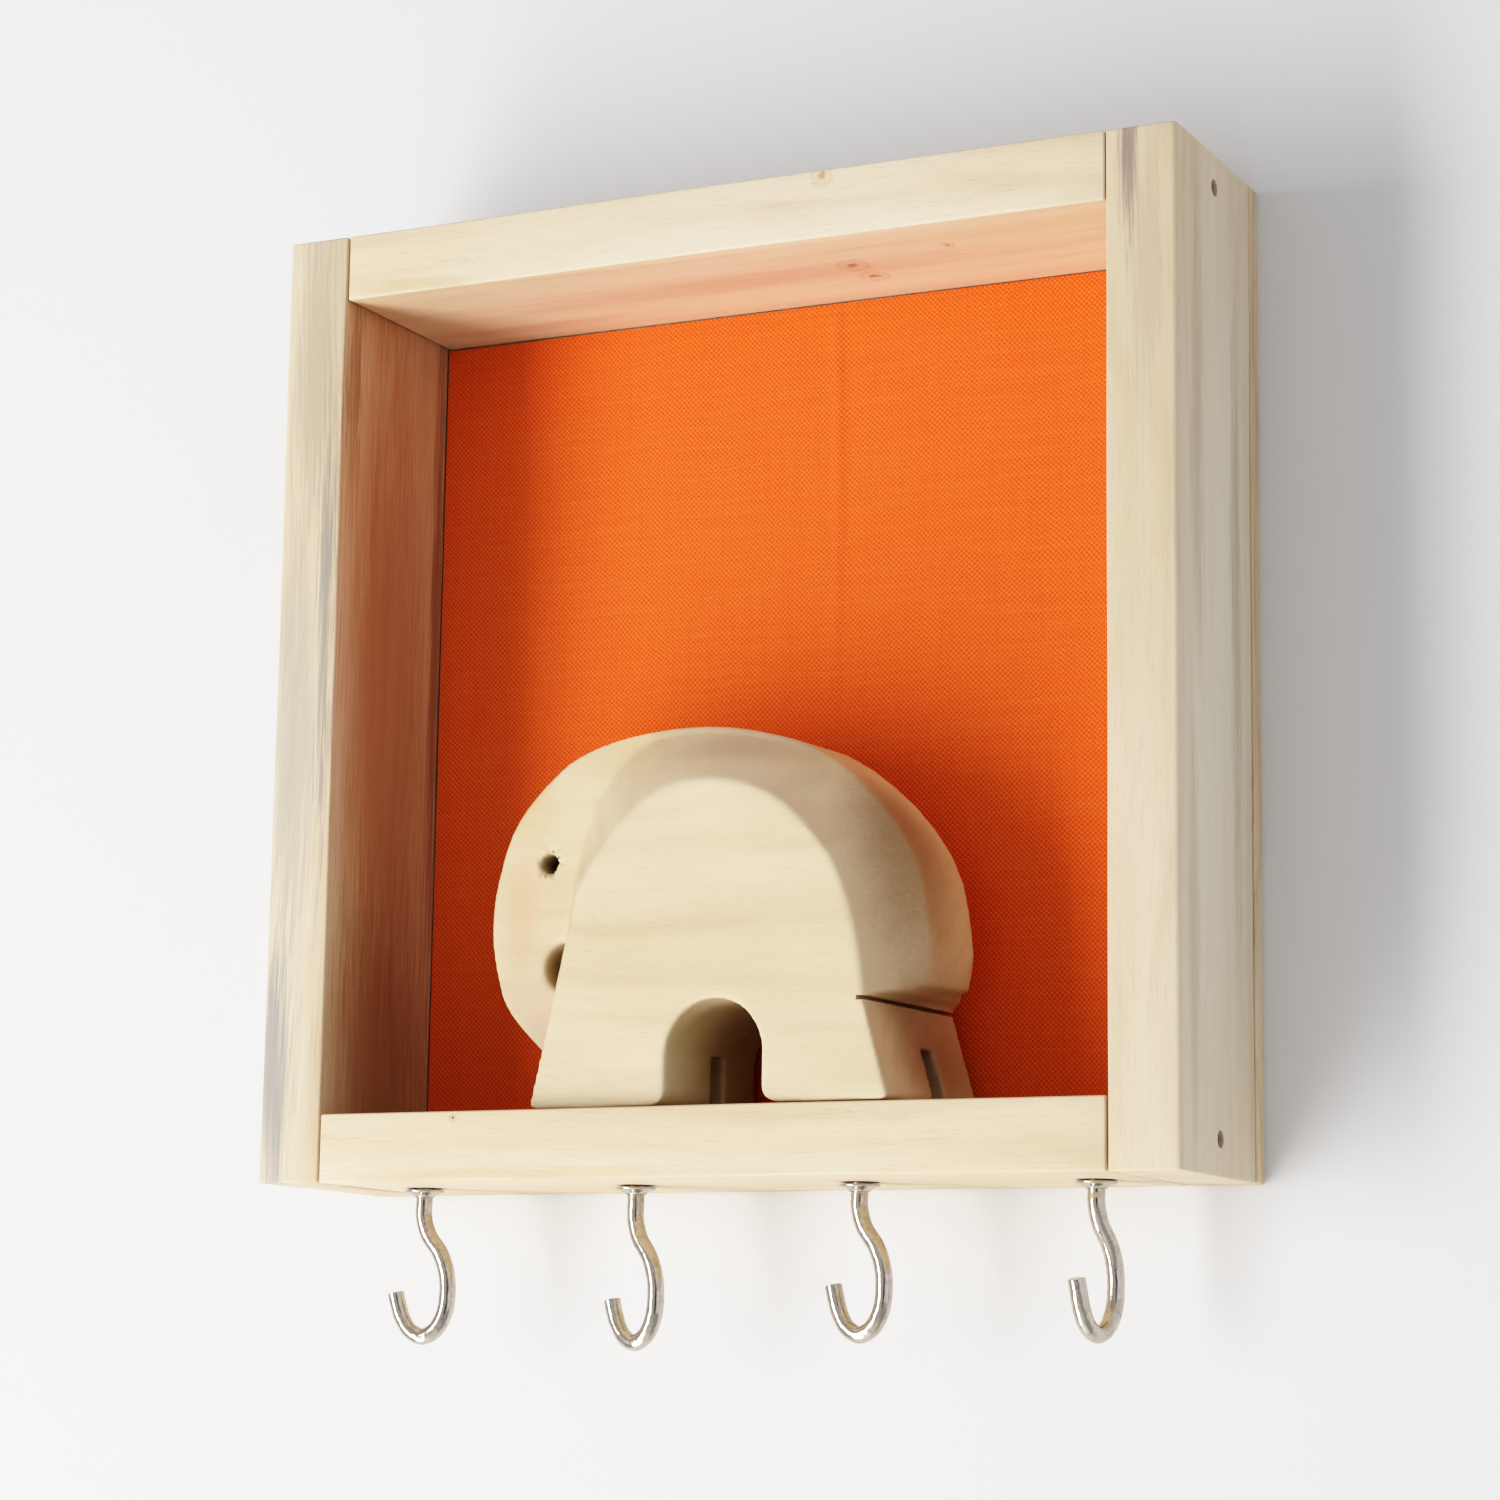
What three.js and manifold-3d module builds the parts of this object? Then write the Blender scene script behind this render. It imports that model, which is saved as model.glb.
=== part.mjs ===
// A wall-hung key rack: a square shadow box of pale boards with an orange canvas ground, a carved
// elephant standing on its bottom rail and four cup hooks screwed up into its underside.
// Units are millimetres. X runs to the right and Z up, the wall is the plane y = 0 and the open
// front faces -Y. The origin is the centre of the back face.
import * as THREE from "three";
import Module from "manifold-3d";

// Fits
const GAP = 0.3; // clearance between two pieces that touch on the real object

// Frame boards
const WIDTH = 180;
const HEIGHT = 180;
const BOARD_DEPTH = 39;
const SIDE_THICKNESS = 13;
const RAIL_THICKNESS = 12.6;
const BACK_THICKNESS = 4;
const CANVAS_THICKNESS = 0.6;

// Brads through the side boards into the ends of the rails
const BRAD_RADIUS = 0.9;
const BRAD_HEAD_RADIUS = 1.4;
const BRAD_HEAD_THICKNESS = 0.8;
const BRAD_SINK = 0.8;
const BRAD_GRIP = 6.5; // how far a brad reaches into the rail
const BRAD_FROM_FRONT = 19.5;

// Nails through the back board into the boards' back edges
const TACK_RADIUS = 0.8;
const TACK_HEAD_RADIUS = 1.6;
const TACK_HEAD_THICKNESS = 0.7;
const TACK_SINK = 0.4;
const TACK_GRIP = 11; // how far a tack reaches into the board behind the back board
const TACK_SIDE_HEIGHT = 60; // height of the side tacks above and below the middle
const TACK_RAIL_REACH = 45; // distance of the rail tacks from the middle

// Cup hooks
const HOOK_COUNT = 4;
const HOOK_END_MARGIN = 10.1; // from a rail end to the axis of the hook next to it
const HOOK_FROM_WALL = 21.5;
const WIRE_RADIUS = 1.55;
const SCREW_LENGTH = 10.4; // the part of the hook inside the rail
const SCREW_RADIUS = 1.35;
const SCREW_POINT = 3;
const COLLAR_RADIUS = 3.65;
const COLLAR_THICKNESS = 1.3;
const COLLAR_RIM = 0.35;
const COLLAR_NECK_RADIUS = 2.3;
const HOOK_TURNS = [-4, 15, 9, -72]; // degrees that each hook stops at, seen from above
// Wire centreline below the rail, in the hook's own plane: [sideways, down].
const HOOK_LINE = [
  [0, 0],
  [0, 2.6],
  [0, 5.2],
  [1.1, 8.6],
  [3.6, 12],
  [5, 15.7],
  [5.3, 19.3],
  [4.8, 22.9],
  [3, 26],
  [0.2, 27.3],
  [-2.4, 26],
  [-4, 23.3],
  [-4.8, 20.6],
  [-5.4, 18.2],
];

// Carved elephant, in its own frame: x along its length, z up from its feet, y from front to back
const ELEPHANT_SETBACK = 1.8; // from the frame's front to the elephant's front face
const ELEPHANT_BACK_GAP = 3.2; // from the elephant's back face to the plane of the board backs
const ELEPHANT_PLACE = 2; // sideways, of the elephant's own origin
const ELEPHANT_TURN = -2.5; // degrees about the vertical
const FRONT_BEVEL = 11.5; // depth of the carved shoulder in front of the head
const BACK_BEVEL = 8;
const RUMP_STEP = 18; // height of the sawn step under the rump
const HIND_FLARE = 1.04; // how much further the hind end reaches at the back than at the front
const ARCH_PLACE = 0.6;
const ARCH_RADIUS = 9.7;
const ARCH_SPRING = 8.9; // height at which the arch's round top begins
const SLOT_WIDTH = 4.5;
const SLOT_HEIGHT = 10;
const SLOT_FROM_BACK = 11.8;
const EYE = { x: -40.3, z: 46.2, radius: 1.9 };
const TRUNK_CURL = { x: -37, z: 27, radius: 4.5 };
const BELLY_LINE = [
  [-32.9, RUMP_STEP],
  [-28.8, 35.5],
  [-26.3, 42],
  [-15, 54.2],
  [-2.4, 57.9],
  [11.4, 54.3],
  [21.5, 44.8],
  [25.3, 37.9],
  [28.1, 29.2],
  [29.9, RUMP_STEP],
];
const BACK_LINE = [
  [-35.5, RUMP_STEP],
  [-36.3, 30],
  [-35, 44],
  [-30.5, 57],
  [-21, 67],
  [-6.9, 69.8],
  [11.2, 65.8],
  [24.9, 56.2],
  [34.1, 43.9],
  [37, 32.4],
  [38, RUMP_STEP],
];
const HEAD_LINE = [
  [-40, 10],
  [-47.5, 17.3],
  [-51.2, 23.5],
  [-53.5, 34.7],
  [-52.3, 44.7],
  [-48.5, 54],
  [-42.2, 61],
  [-34.2, 66],
  [-22, 69.8],
  [-12, 69.4],
];
const LEG_FRONT_FOOT = -37;
const LEG_REAR_FOOT = 35;
const LEG_ROOT = 4; // how far the legs run up inside the body

// Hanger plate, in a pocket in the back board so that the board lies flat on the wall
const HANGER_LENGTH = 45;
const HANGER_HEIGHT = 9;
const HANGER_THICKNESS = 0.8;
const HANGER_TAB = 6.5;
const HANGER_RAISE = 1.2; // how far the middle stands off its end tabs
const HANGER_TEETH = 9;
const TOOTH_PITCH = 3;
const TOOTH_DEPTH = 1.6;
const HANGER_NAIL_GRIP = 7;
const POCKET_DEPTH = 2.6;
const POCKET_MARGIN = 1.5;
const POCKET_BELOW = 6; // room under the plate for the wall nail

const COLOURS = {
  board: 0xdccaa6,
  rail: 0xe6d9b8,
  back: 0xc9ad7f,
  canvas: 0xc8400f,
  elephant: 0xe4d8b4,
  nickel: 0xc9c4bc,
  steel: 0x8f8b84,
  hanger: 0xb9a36a,
};

const wasm = await Module();
wasm.setup();

// Places worked out from the sizes above
const boardBack = -BACK_THICKNESS - GAP;
const boardFront = -BACK_THICKNESS - BOARD_DEPTH;
const railLength = WIDTH - 2 * SIDE_THICKNESS;
const railHeight = HEIGHT / 2 - RAIL_THICKNESS / 2;
const sidePlace = WIDTH / 2 - SIDE_THICKNESS / 2;
const underside = -HEIGHT / 2;
const shelf = underside + RAIL_THICKNESS;
const bradPlace = boardFront + BRAD_FROM_FRONT;
const bradLength = SIDE_THICKNESS - BRAD_SINK + BRAD_GRIP;
const tackLength = BACK_THICKNESS - TACK_SINK + TACK_GRIP;
const elephantDepth = BOARD_DEPTH - ELEPHANT_SETBACK - ELEPHANT_BACK_GAP;

// A three.js geometry as a solid, keeping only its positions and welding its corners.
function solid(geometry) {
  const flat = geometry.index ? geometry.toNonIndexed() : geometry;
  const from = flat.getAttribute("position");
  const corners = new Map();
  const positions = [];
  const triangles = [];
  for (let i = 0; i < from.count; i++) {
    const p = [from.getX(i), from.getY(i), from.getZ(i)];
    const key = p.map((v) => Math.round(v * 1e4)).join(" ");
    if (!corners.has(key)) {
      corners.set(key, corners.size);
      positions.push(...p);
    }
    triangles.push(corners.get(key));
  }
  const kept = [];
  for (let i = 0; i < triangles.length; i += 3) {
    const [a, b, c] = triangles.slice(i, i + 3);
    if (a !== b && b !== c && c !== a) kept.push(a, b, c);
  }
  return new wasm.Manifold(
    new wasm.Mesh({
      numProp: 3,
      vertProperties: new Float32Array(positions),
      triVerts: new Uint32Array(kept),
    }),
  );
}

// A solid as a three.js geometry with flat faces.
function geometryOf(made) {
  const mesh = made.getMesh();
  const positions = new Float32Array(mesh.numVert * 3);
  for (let i = 0; i < mesh.numVert; i++) {
    const start = i * mesh.numProp;
    positions.set(mesh.vertProperties.subarray(start, start + 3), i * 3);
  }
  const geometry = new THREE.BufferGeometry();
  geometry.setAttribute("position", new THREE.BufferAttribute(positions, 3));
  geometry.setIndex(new THREE.BufferAttribute(mesh.triVerts, 1));
  const flat = geometry.toNonIndexed();
  flat.computeVertexNormals();
  return flat;
}

function matt(colour) {
  return new THREE.MeshStandardMaterial({ color: colour, roughness: 0.8, metalness: 0 });
}

function metal(colour) {
  return new THREE.MeshStandardMaterial({ color: colour, roughness: 0.25, metalness: 1 });
}

// A box between two corners.
function block(low, high) {
  const size = high.map((v, i) => v - low[i]);
  const centre = high.map((v, i) => (v + low[i]) / 2);
  return solid(new THREE.BoxGeometry(...size).translate(...centre));
}

// A turned piece about its own axis: its profile is [radius, height] pairs that begin and end on
// the axis. It points along `towards` from `at`.
function turned(profile, at, towards, sides = 14) {
  const points = profile.map(([r, h]) => new THREE.Vector2(r, h));
  const geometry = new THREE.LatheGeometry(points, sides);
  const turn = new THREE.Quaternion().setFromUnitVectors(
    new THREE.Vector3(0, 1, 0),
    new THREE.Vector3(...towards),
  );
  return solid(geometry.applyQuaternion(turn).translate(...at));
}

// A round hole, or a pin, from `at` along `towards`.
function round(radius, length, at, towards, sides = 14) {
  const profile = [
    [0, 0],
    [radius, 0],
    [radius, length],
    [0, length],
  ];
  return turned(profile, at, towards, sides);
}

// An outline of [x, z] points as a plate from y = front to y = back.
function plate(shape, front, back) {
  const geometry = new THREE.ExtrudeGeometry(shape, {
    depth: back - front,
    bevelEnabled: false,
    curveSegments: 14,
  });
  return solid(geometry.rotateX(Math.PI / 2).translate(0, back, 0));
}

// A closed skin through outlines of equal length, each {y, points}, from front to back.
function loft(rings) {
  const count = rings[0].points.length;
  const positions = rings.flatMap(({ y, points }) => points.flatMap((p) => [p.x, y, p.y]));
  const cap = THREE.ShapeUtils.triangulateShape(rings[0].points, []);
  const last = (rings.length - 1) * count;
  const index = cap.flatMap(([a, b, c]) => [a, b, c, last + c, last + b, last + a]);
  for (let k = 0; k < last; k += count) {
    for (let i = 0; i < count; i++) {
      const j = (i + 1) % count;
      index.push(k + i, k + count + j, k + j);
      index.push(k + i, k + count + i, k + count + j);
    }
  }
  const geometry = new THREE.BufferGeometry();
  const attribute = new THREE.BufferAttribute(new Float32Array(positions), 3);
  geometry.setAttribute("position", attribute);
  geometry.setIndex(index);
  return solid(geometry);
}

// An open smooth line through [x, z] points, as evenly spaced points running anticlockwise.
function smoothRing(line, count = 26) {
  const curve = new THREE.SplineCurve(line.map(([x, z]) => new THREE.Vector2(x, z)));
  return curve.getSpacedPoints(count).reverse();
}

// The same outline with its hind end reaching further out.
function flared(points) {
  return points.map((p) => new THREE.Vector2(p.x > 0 ? p.x * HIND_FLARE : p.x, p.y));
}

const group = new THREE.Group();

function add(name, made, material) {
  const mesh = new THREE.Mesh(geometryOf(made), material);
  mesh.name = name;
  group.add(mesh);
}

// A brad or tack: head, shank and point. Its head's top is at the origin of the profile.
function nailProfile(radius, headRadius, headThickness, length) {
  return [
    [0, 0],
    [headRadius, 0],
    [headRadius, headThickness],
    [radius, headThickness],
    [radius, length - 2 * radius],
    [0, length],
  ];
}

// The hole that such a nail sits in, from the surface above its sunk head.
function nailHole(radius, headRadius, headThickness, sink, length) {
  const floor = sink + headThickness + GAP;
  return [
    [0, -1],
    [headRadius + GAP, -1],
    [headRadius + GAP, floor],
    [radius + GAP, floor],
    [radius + GAP, sink + length + GAP],
    [0, sink + length + GAP],
  ];
}

// The four brads: where each starts on a side board's outer face, and its way in.
const brads = [];
for (const side of [-1, 1]) {
  for (const end of [1, -1]) {
    brads.push({
      name: `frame_nail_${end > 0 ? "top" : "bottom"}_${side > 0 ? "right" : "left"}`,
      surface: [(side * WIDTH) / 2, bradPlace, end * railHeight],
      head: [side * (WIDTH / 2 - BRAD_SINK), bradPlace, end * railHeight],
      towards: [-side, 0, 0],
    });
  }
}

// The eight tacks that hold the back board.
const tacks = [];
for (const side of [-1, 1]) {
  for (const end of [1, -1]) {
    const hand = side > 0 ? "right" : "left";
    const level = end > 0 ? "upper" : "lower";
    tacks.push({
      name: `back_nail_side_${level}_${hand}`,
      x: side * sidePlace,
      z: end * TACK_SIDE_HEIGHT,
    });
    tacks.push({
      name: `back_nail_rail_${level}_${hand}`,
      x: side * TACK_RAIL_REACH,
      z: end * railHeight,
    });
  }
}

const hookAxes = Array.from({ length: HOOK_COUNT }, (_, i) => {
  const span = railLength - 2 * HOOK_END_MARGIN;
  return { x: -span / 2 + (i * span) / (HOOK_COUNT - 1), y: -HOOK_FROM_WALL };
});

function cutBrads(board) {
  const profile = nailHole(
    BRAD_RADIUS,
    BRAD_HEAD_RADIUS,
    BRAD_HEAD_THICKNESS,
    BRAD_SINK,
    bradLength,
  );
  return brads.reduce((made, b) => made.subtract(turned(profile, b.surface, b.towards)), board);
}

function cutTacks(board) {
  const profile = nailHole(
    TACK_RADIUS,
    TACK_HEAD_RADIUS,
    TACK_HEAD_THICKNESS,
    TACK_SINK,
    tackLength,
  );
  return tacks.reduce((made, t) => made.subtract(turned(profile, [t.x, 0, t.z], [0, -1, 0])), board);
}

function cutHanger(board) {
  const holes = hangerNails.map(({ x, z }) =>
    round(TACK_RADIUS + GAP, HANGER_NAIL_GRIP + BACK_THICKNESS + GAP, [x, 0, z], [0, -1, 0]),
  );
  return holes.reduce((made, hole) => made.subtract(hole), board);
}

// The hanger plate lies behind the top rail, its nails in the rail's middle.
const hangerNails = [-1, 1].map((side) => ({
  x: side * (HANGER_LENGTH / 2 - HANGER_TAB / 2),
  z: railHeight,
}));
const hangerTop = railHeight + HANGER_HEIGHT / 2;
const pocketFloor = -POCKET_DEPTH;

function sideBoard(side) {
  const outer = (side * WIDTH) / 2;
  const inner = side * (WIDTH / 2 - SIDE_THICKNESS);
  const low = [Math.min(outer, inner), boardFront, -HEIGHT / 2];
  const high = [Math.max(outer, inner), boardBack, HEIGHT / 2];
  return cutTacks(cutBrads(block(low, high)));
}

function rail(end) {
  const half = railLength / 2 - GAP;
  const outer = (end * HEIGHT) / 2;
  const inner = end * (HEIGHT / 2 - RAIL_THICKNESS);
  const low = [-half, boardFront, Math.min(outer, inner)];
  const high = [half, boardBack, Math.max(outer, inner)];
  return cutTacks(cutBrads(block(low, high)));
}

function topRail() {
  return cutHanger(rail(1));
}

// The bottom rail has a pilot hole for each hook.
function bottomRail() {
  return hookAxes.reduce((made, { x, y }) => {
    const hole = round(SCREW_RADIUS + GAP, 1 + SCREW_LENGTH + GAP, [x, y, underside - 1], [0, 0, 1]);
    return made.subtract(hole);
  }, rail(-1));
}

function backBoard() {
  const board = block(
    [-WIDTH / 2, -BACK_THICKNESS, -HEIGHT / 2],
    [WIDTH / 2, 0, HEIGHT / 2],
  );
  const pocket = block(
    [
      -HANGER_LENGTH / 2 - POCKET_MARGIN,
      pocketFloor,
      hangerTop - HANGER_HEIGHT - POCKET_BELOW,
    ],
    [HANGER_LENGTH / 2 + POCKET_MARGIN, 1, hangerTop + POCKET_MARGIN],
  );
  return cutHanger(cutTacks(board)).subtract(pocket);
}

function canvas() {
  const halfWidth = railLength / 2 - GAP;
  const halfHeight = HEIGHT / 2 - RAIL_THICKNESS - GAP;
  return block(
    [-halfWidth, boardBack - CANVAS_THICKNESS, -halfHeight],
    [halfWidth, boardBack, halfHeight],
  );
}

// The wire from the rail down, bent out and round to its tip, in the plane y = 0.
function hookWire() {
  const points = HOOK_LINE.map(([out, down]) => new THREE.Vector3(out, 0, -down));
  const line = new THREE.CatmullRomCurve3(points, false, "centripetal");
  const wire = new THREE.Shape().absarc(0, 0, WIRE_RADIUS, 0, 2 * Math.PI, false);
  const geometry = new THREE.ExtrudeGeometry(wire, {
    steps: 36,
    curveSegments: 6,
    extrudePath: line,
    bevelEnabled: false,
  });
  return solid(geometry);
}

// The screw that the wire's top end is cut into, with its point upwards.
function hookScrew() {
  const profile = [
    [0, -0.5],
    [SCREW_RADIUS, -0.5],
    [SCREW_RADIUS, SCREW_LENGTH - SCREW_POINT],
    [0, SCREW_LENGTH],
  ];
  return turned(profile, [0, 0, 0], [0, 0, 1]);
}

function hook(axis, turn) {
  return hookWire()
    .add(hookScrew())
    .rotate([0, 0, -turn])
    .translate([axis.x, axis.y, underside]);
}

// The domed collar under the rail, with the wire through its middle.
function collar(axis) {
  const profile = [
    [0, 0],
    [COLLAR_RADIUS, 0],
    [COLLAR_RADIUS, COLLAR_RIM],
    [COLLAR_NECK_RADIUS + 0.4, COLLAR_THICKNESS - 0.3],
    [COLLAR_NECK_RADIUS, COLLAR_THICKNESS],
    [0, COLLAR_THICKNESS],
  ];
  const at = [axis.x, axis.y, underside - GAP];
  const bore = round(
    WIRE_RADIUS + GAP,
    COLLAR_THICKNESS + 2,
    [axis.x, axis.y, underside - GAP + 1],
    [0, 0, -1],
    24,
  );
  return turned(profile, at, [0, 0, -1], 24).subtract(bore);
}

// The thick middle of the carving, with its shoulders bevelled down to the flat front and back.
function elephantBody() {
  const belly = smoothRing(BELLY_LINE);
  const back = smoothRing(BACK_LINE);
  return loft([
    { y: 0, points: belly },
    { y: FRONT_BEVEL, points: back },
    { y: elephantDepth - BACK_BEVEL, points: flared(back) },
    { y: elephantDepth, points: flared(belly) },
  ]);
}

// The head and trunk: a thinner disc in the middle of the block, with the eye and the trunk's curl.
function elephantHead() {
  const shape = new THREE.Shape();
  shape.moveTo(-20, HEAD_LINE[0][1]);
  shape.lineTo(...HEAD_LINE[0]);
  shape.splineThru(HEAD_LINE.slice(1).map(([x, z]) => new THREE.Vector2(x, z)));
  shape.lineTo(-12, 55);
  const disc = plate(shape, FRONT_BEVEL, elephantDepth - BACK_BEVEL);
  return [EYE, TRUNK_CURL].reduce((made, { x, z, radius }) => {
    return made.subtract(round(radius, elephantDepth + 2, [x, -1, z], [0, 1, 0], 20));
  }, disc);
}

function elephantLegs() {
  const [fore] = BELLY_LINE[0];
  const [hind] = BELLY_LINE.at(-1);
  const outline = [
    new THREE.Vector2(LEG_FRONT_FOOT, 0),
    new THREE.Vector2(LEG_REAR_FOOT, 0),
    new THREE.Vector2(hind, RUMP_STEP),
    new THREE.Vector2(hind - 1.5, RUMP_STEP + LEG_ROOT),
    new THREE.Vector2(fore + 1.5, RUMP_STEP + LEG_ROOT),
    new THREE.Vector2(fore, RUMP_STEP),
  ];
  return loft([
    { y: 0, points: outline },
    { y: elephantDepth, points: flared(outline) },
  ]);
}

// The arch parts fore legs from hind legs, and the slot parts the near pair from the far pair.
function elephantCuts() {
  const arch = new THREE.Shape();
  arch.moveTo(ARCH_PLACE - ARCH_RADIUS, -1);
  arch.lineTo(ARCH_PLACE + ARCH_RADIUS, -1);
  arch.lineTo(ARCH_PLACE + ARCH_RADIUS, ARCH_SPRING);
  arch.absarc(ARCH_PLACE, ARCH_SPRING, ARCH_RADIUS, 0, Math.PI, false);
  const slotBack = elephantDepth - SLOT_FROM_BACK;
  const slot = block(
    [LEG_FRONT_FOOT - 20, slotBack - SLOT_WIDTH, -1],
    [LEG_REAR_FOOT + 20, slotBack, SLOT_HEIGHT],
  );
  return plate(arch, -1, elephantDepth + 1).add(slot);
}

function elephant() {
  return elephantBody()
    .add(elephantHead())
    .add(elephantLegs())
    .subtract(elephantCuts())
    .rotate([0, 0, ELEPHANT_TURN])
    .translate([ELEPHANT_PLACE, boardFront + ELEPHANT_SETBACK, shelf + GAP]);
}

// A strip with its middle raised off two end tabs, and teeth along its lower edge.
function hangerPlate() {
  const half = HANGER_LENGTH / 2;
  const rise = HANGER_RAISE;
  const t = HANGER_THICKNESS;
  const tab = half - HANGER_TAB;
  const strip = new THREE.Shape([
    new THREE.Vector2(-half, 0),
    new THREE.Vector2(-tab, 0),
    new THREE.Vector2(-tab + rise, rise),
    new THREE.Vector2(tab - rise, rise),
    new THREE.Vector2(tab, 0),
    new THREE.Vector2(half, 0),
    new THREE.Vector2(half, t),
    new THREE.Vector2(tab + t / 2, t),
    new THREE.Vector2(tab - rise + t / 2, rise + t),
    new THREE.Vector2(-tab + rise - t / 2, rise + t),
    new THREE.Vector2(-tab - t / 2, t),
    new THREE.Vector2(-half, t),
  ]);
  const geometry = new THREE.ExtrudeGeometry(strip, {
    depth: HANGER_HEIGHT,
    bevelEnabled: false,
  });
  const low = hangerTop - HANGER_HEIGHT;
  let made = solid(geometry.translate(0, pocketFloor + GAP, low));
  for (let i = 0; i < HANGER_TEETH; i++) {
    const x = (i - (HANGER_TEETH - 1) / 2) * TOOTH_PITCH;
    const notch = new THREE.Shape([
      new THREE.Vector2(x - TOOTH_PITCH / 2 + 0.2, low - 1),
      new THREE.Vector2(x + TOOTH_PITCH / 2 - 0.2, low - 1),
      new THREE.Vector2(x, low + TOOTH_DEPTH),
    ]);
    made = made.subtract(plate(notch, pocketFloor, 1));
  }
  return hangerNails.reduce((held, { x, z }) => {
    return held.subtract(round(TACK_RADIUS + GAP, POCKET_DEPTH + 2, [x, 1, z], [0, -1, 0]));
  }, made);
}

function hangerNail({ x, z }) {
  const head = pocketFloor + GAP + HANGER_THICKNESS + GAP + TACK_HEAD_THICKNESS;
  const length = head + BACK_THICKNESS + HANGER_NAIL_GRIP - GAP;
  const profile = nailProfile(TACK_RADIUS, TACK_HEAD_RADIUS, TACK_HEAD_THICKNESS, length);
  return turned(profile, [x, head, z], [0, -1, 0]);
}

add("left_side", sideBoard(-1), matt(COLOURS.board));
add("right_side", sideBoard(1), matt(COLOURS.board));
add("top_rail", topRail(), matt(COLOURS.rail));
add("bottom_rail", bottomRail(), matt(COLOURS.rail));
add("back_board", backBoard(), matt(COLOURS.back));
add("orange_canvas", canvas(), matt(COLOURS.canvas));
add("elephant", elephant(), matt(COLOURS.elephant));

for (const { name, head, towards } of brads) {
  const profile = nailProfile(BRAD_RADIUS, BRAD_HEAD_RADIUS, BRAD_HEAD_THICKNESS, bradLength);
  add(name, turned(profile, head, towards), metal(COLOURS.steel));
}

for (const { name, x, z } of tacks) {
  const profile = nailProfile(TACK_RADIUS, TACK_HEAD_RADIUS, TACK_HEAD_THICKNESS, tackLength);
  add(name, turned(profile, [x, -TACK_SINK, z], [0, -1, 0]), metal(COLOURS.steel));
}

hookAxes.forEach((axis, i) => {
  add(`hook_collar_${i + 1}`, collar(axis), metal(COLOURS.nickel));
  add(`cup_hook_${i + 1}`, hook(axis, HOOK_TURNS[i]), metal(COLOURS.nickel));
});

add("hanger_plate", hangerPlate(), metal(COLOURS.hanger));
hangerNails.forEach((nail, i) => {
  add(`hanger_nail_${i === 0 ? "left" : "right"}`, hangerNail(nail), metal(COLOURS.steel));
});

export default group;
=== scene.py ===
"""The looks of a wall-hung key rack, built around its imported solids.

A square shadow box of bare pale boards hangs on a wall. It has an orange canvas ground, a carved
elephant standing on its bottom rail, and four nickel cup hooks screwed up into its underside.
Sizes in the classes are in millimetres, and MM turns them into metres. X runs to the right, Z up,
and the wall is the plane y = 0.
"""

import logging
import math
from contextlib import contextmanager
from dataclasses import dataclass
from enum import Enum
from functools import partialmethod
from typing import Any, Callable, Iterator, Sequence

import bmesh
import bpy
import numpy as np
from mathutils import Matrix, Vector


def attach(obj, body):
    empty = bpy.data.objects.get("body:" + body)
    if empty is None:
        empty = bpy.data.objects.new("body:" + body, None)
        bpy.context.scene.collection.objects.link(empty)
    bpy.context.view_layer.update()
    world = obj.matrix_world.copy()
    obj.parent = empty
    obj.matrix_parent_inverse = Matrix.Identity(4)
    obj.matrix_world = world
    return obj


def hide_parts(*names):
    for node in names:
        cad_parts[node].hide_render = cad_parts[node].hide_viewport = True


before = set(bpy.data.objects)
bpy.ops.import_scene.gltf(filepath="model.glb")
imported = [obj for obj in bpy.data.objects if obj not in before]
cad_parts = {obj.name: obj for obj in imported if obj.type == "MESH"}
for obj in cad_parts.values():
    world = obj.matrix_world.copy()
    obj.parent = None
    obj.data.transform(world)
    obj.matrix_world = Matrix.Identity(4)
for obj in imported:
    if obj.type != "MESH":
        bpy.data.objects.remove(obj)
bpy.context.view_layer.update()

MM = 0.001
WELD = 0.002  # how close doubled points lie, in millimetres
BODY_FRAME = "frame"

log = logging.getLogger("key_rack")

Point = Sequence[float]
Colour = tuple[float, float, float]
Shift = Callable[[np.ndarray], np.ndarray]


def srgb(red: int, green: int, blue: int) -> Colour:
    """Turns a paint-card colour of 0 to 255 into the linear colour that shaders use.

    Args:
        red: Red, 0 to 255.
        green: Green, 0 to 255.
        blue: Blue, 0 to 255.

    Returns:
        The linear colour.
    """
    parts = (c / 255 for c in (red, green, blue))
    return tuple(p / 12.92 if p <= 0.04045 else ((p + 0.055) / 1.055) ** 2.4 for p in parts)


# ---------------------------------------------------------------- shader maths


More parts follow.
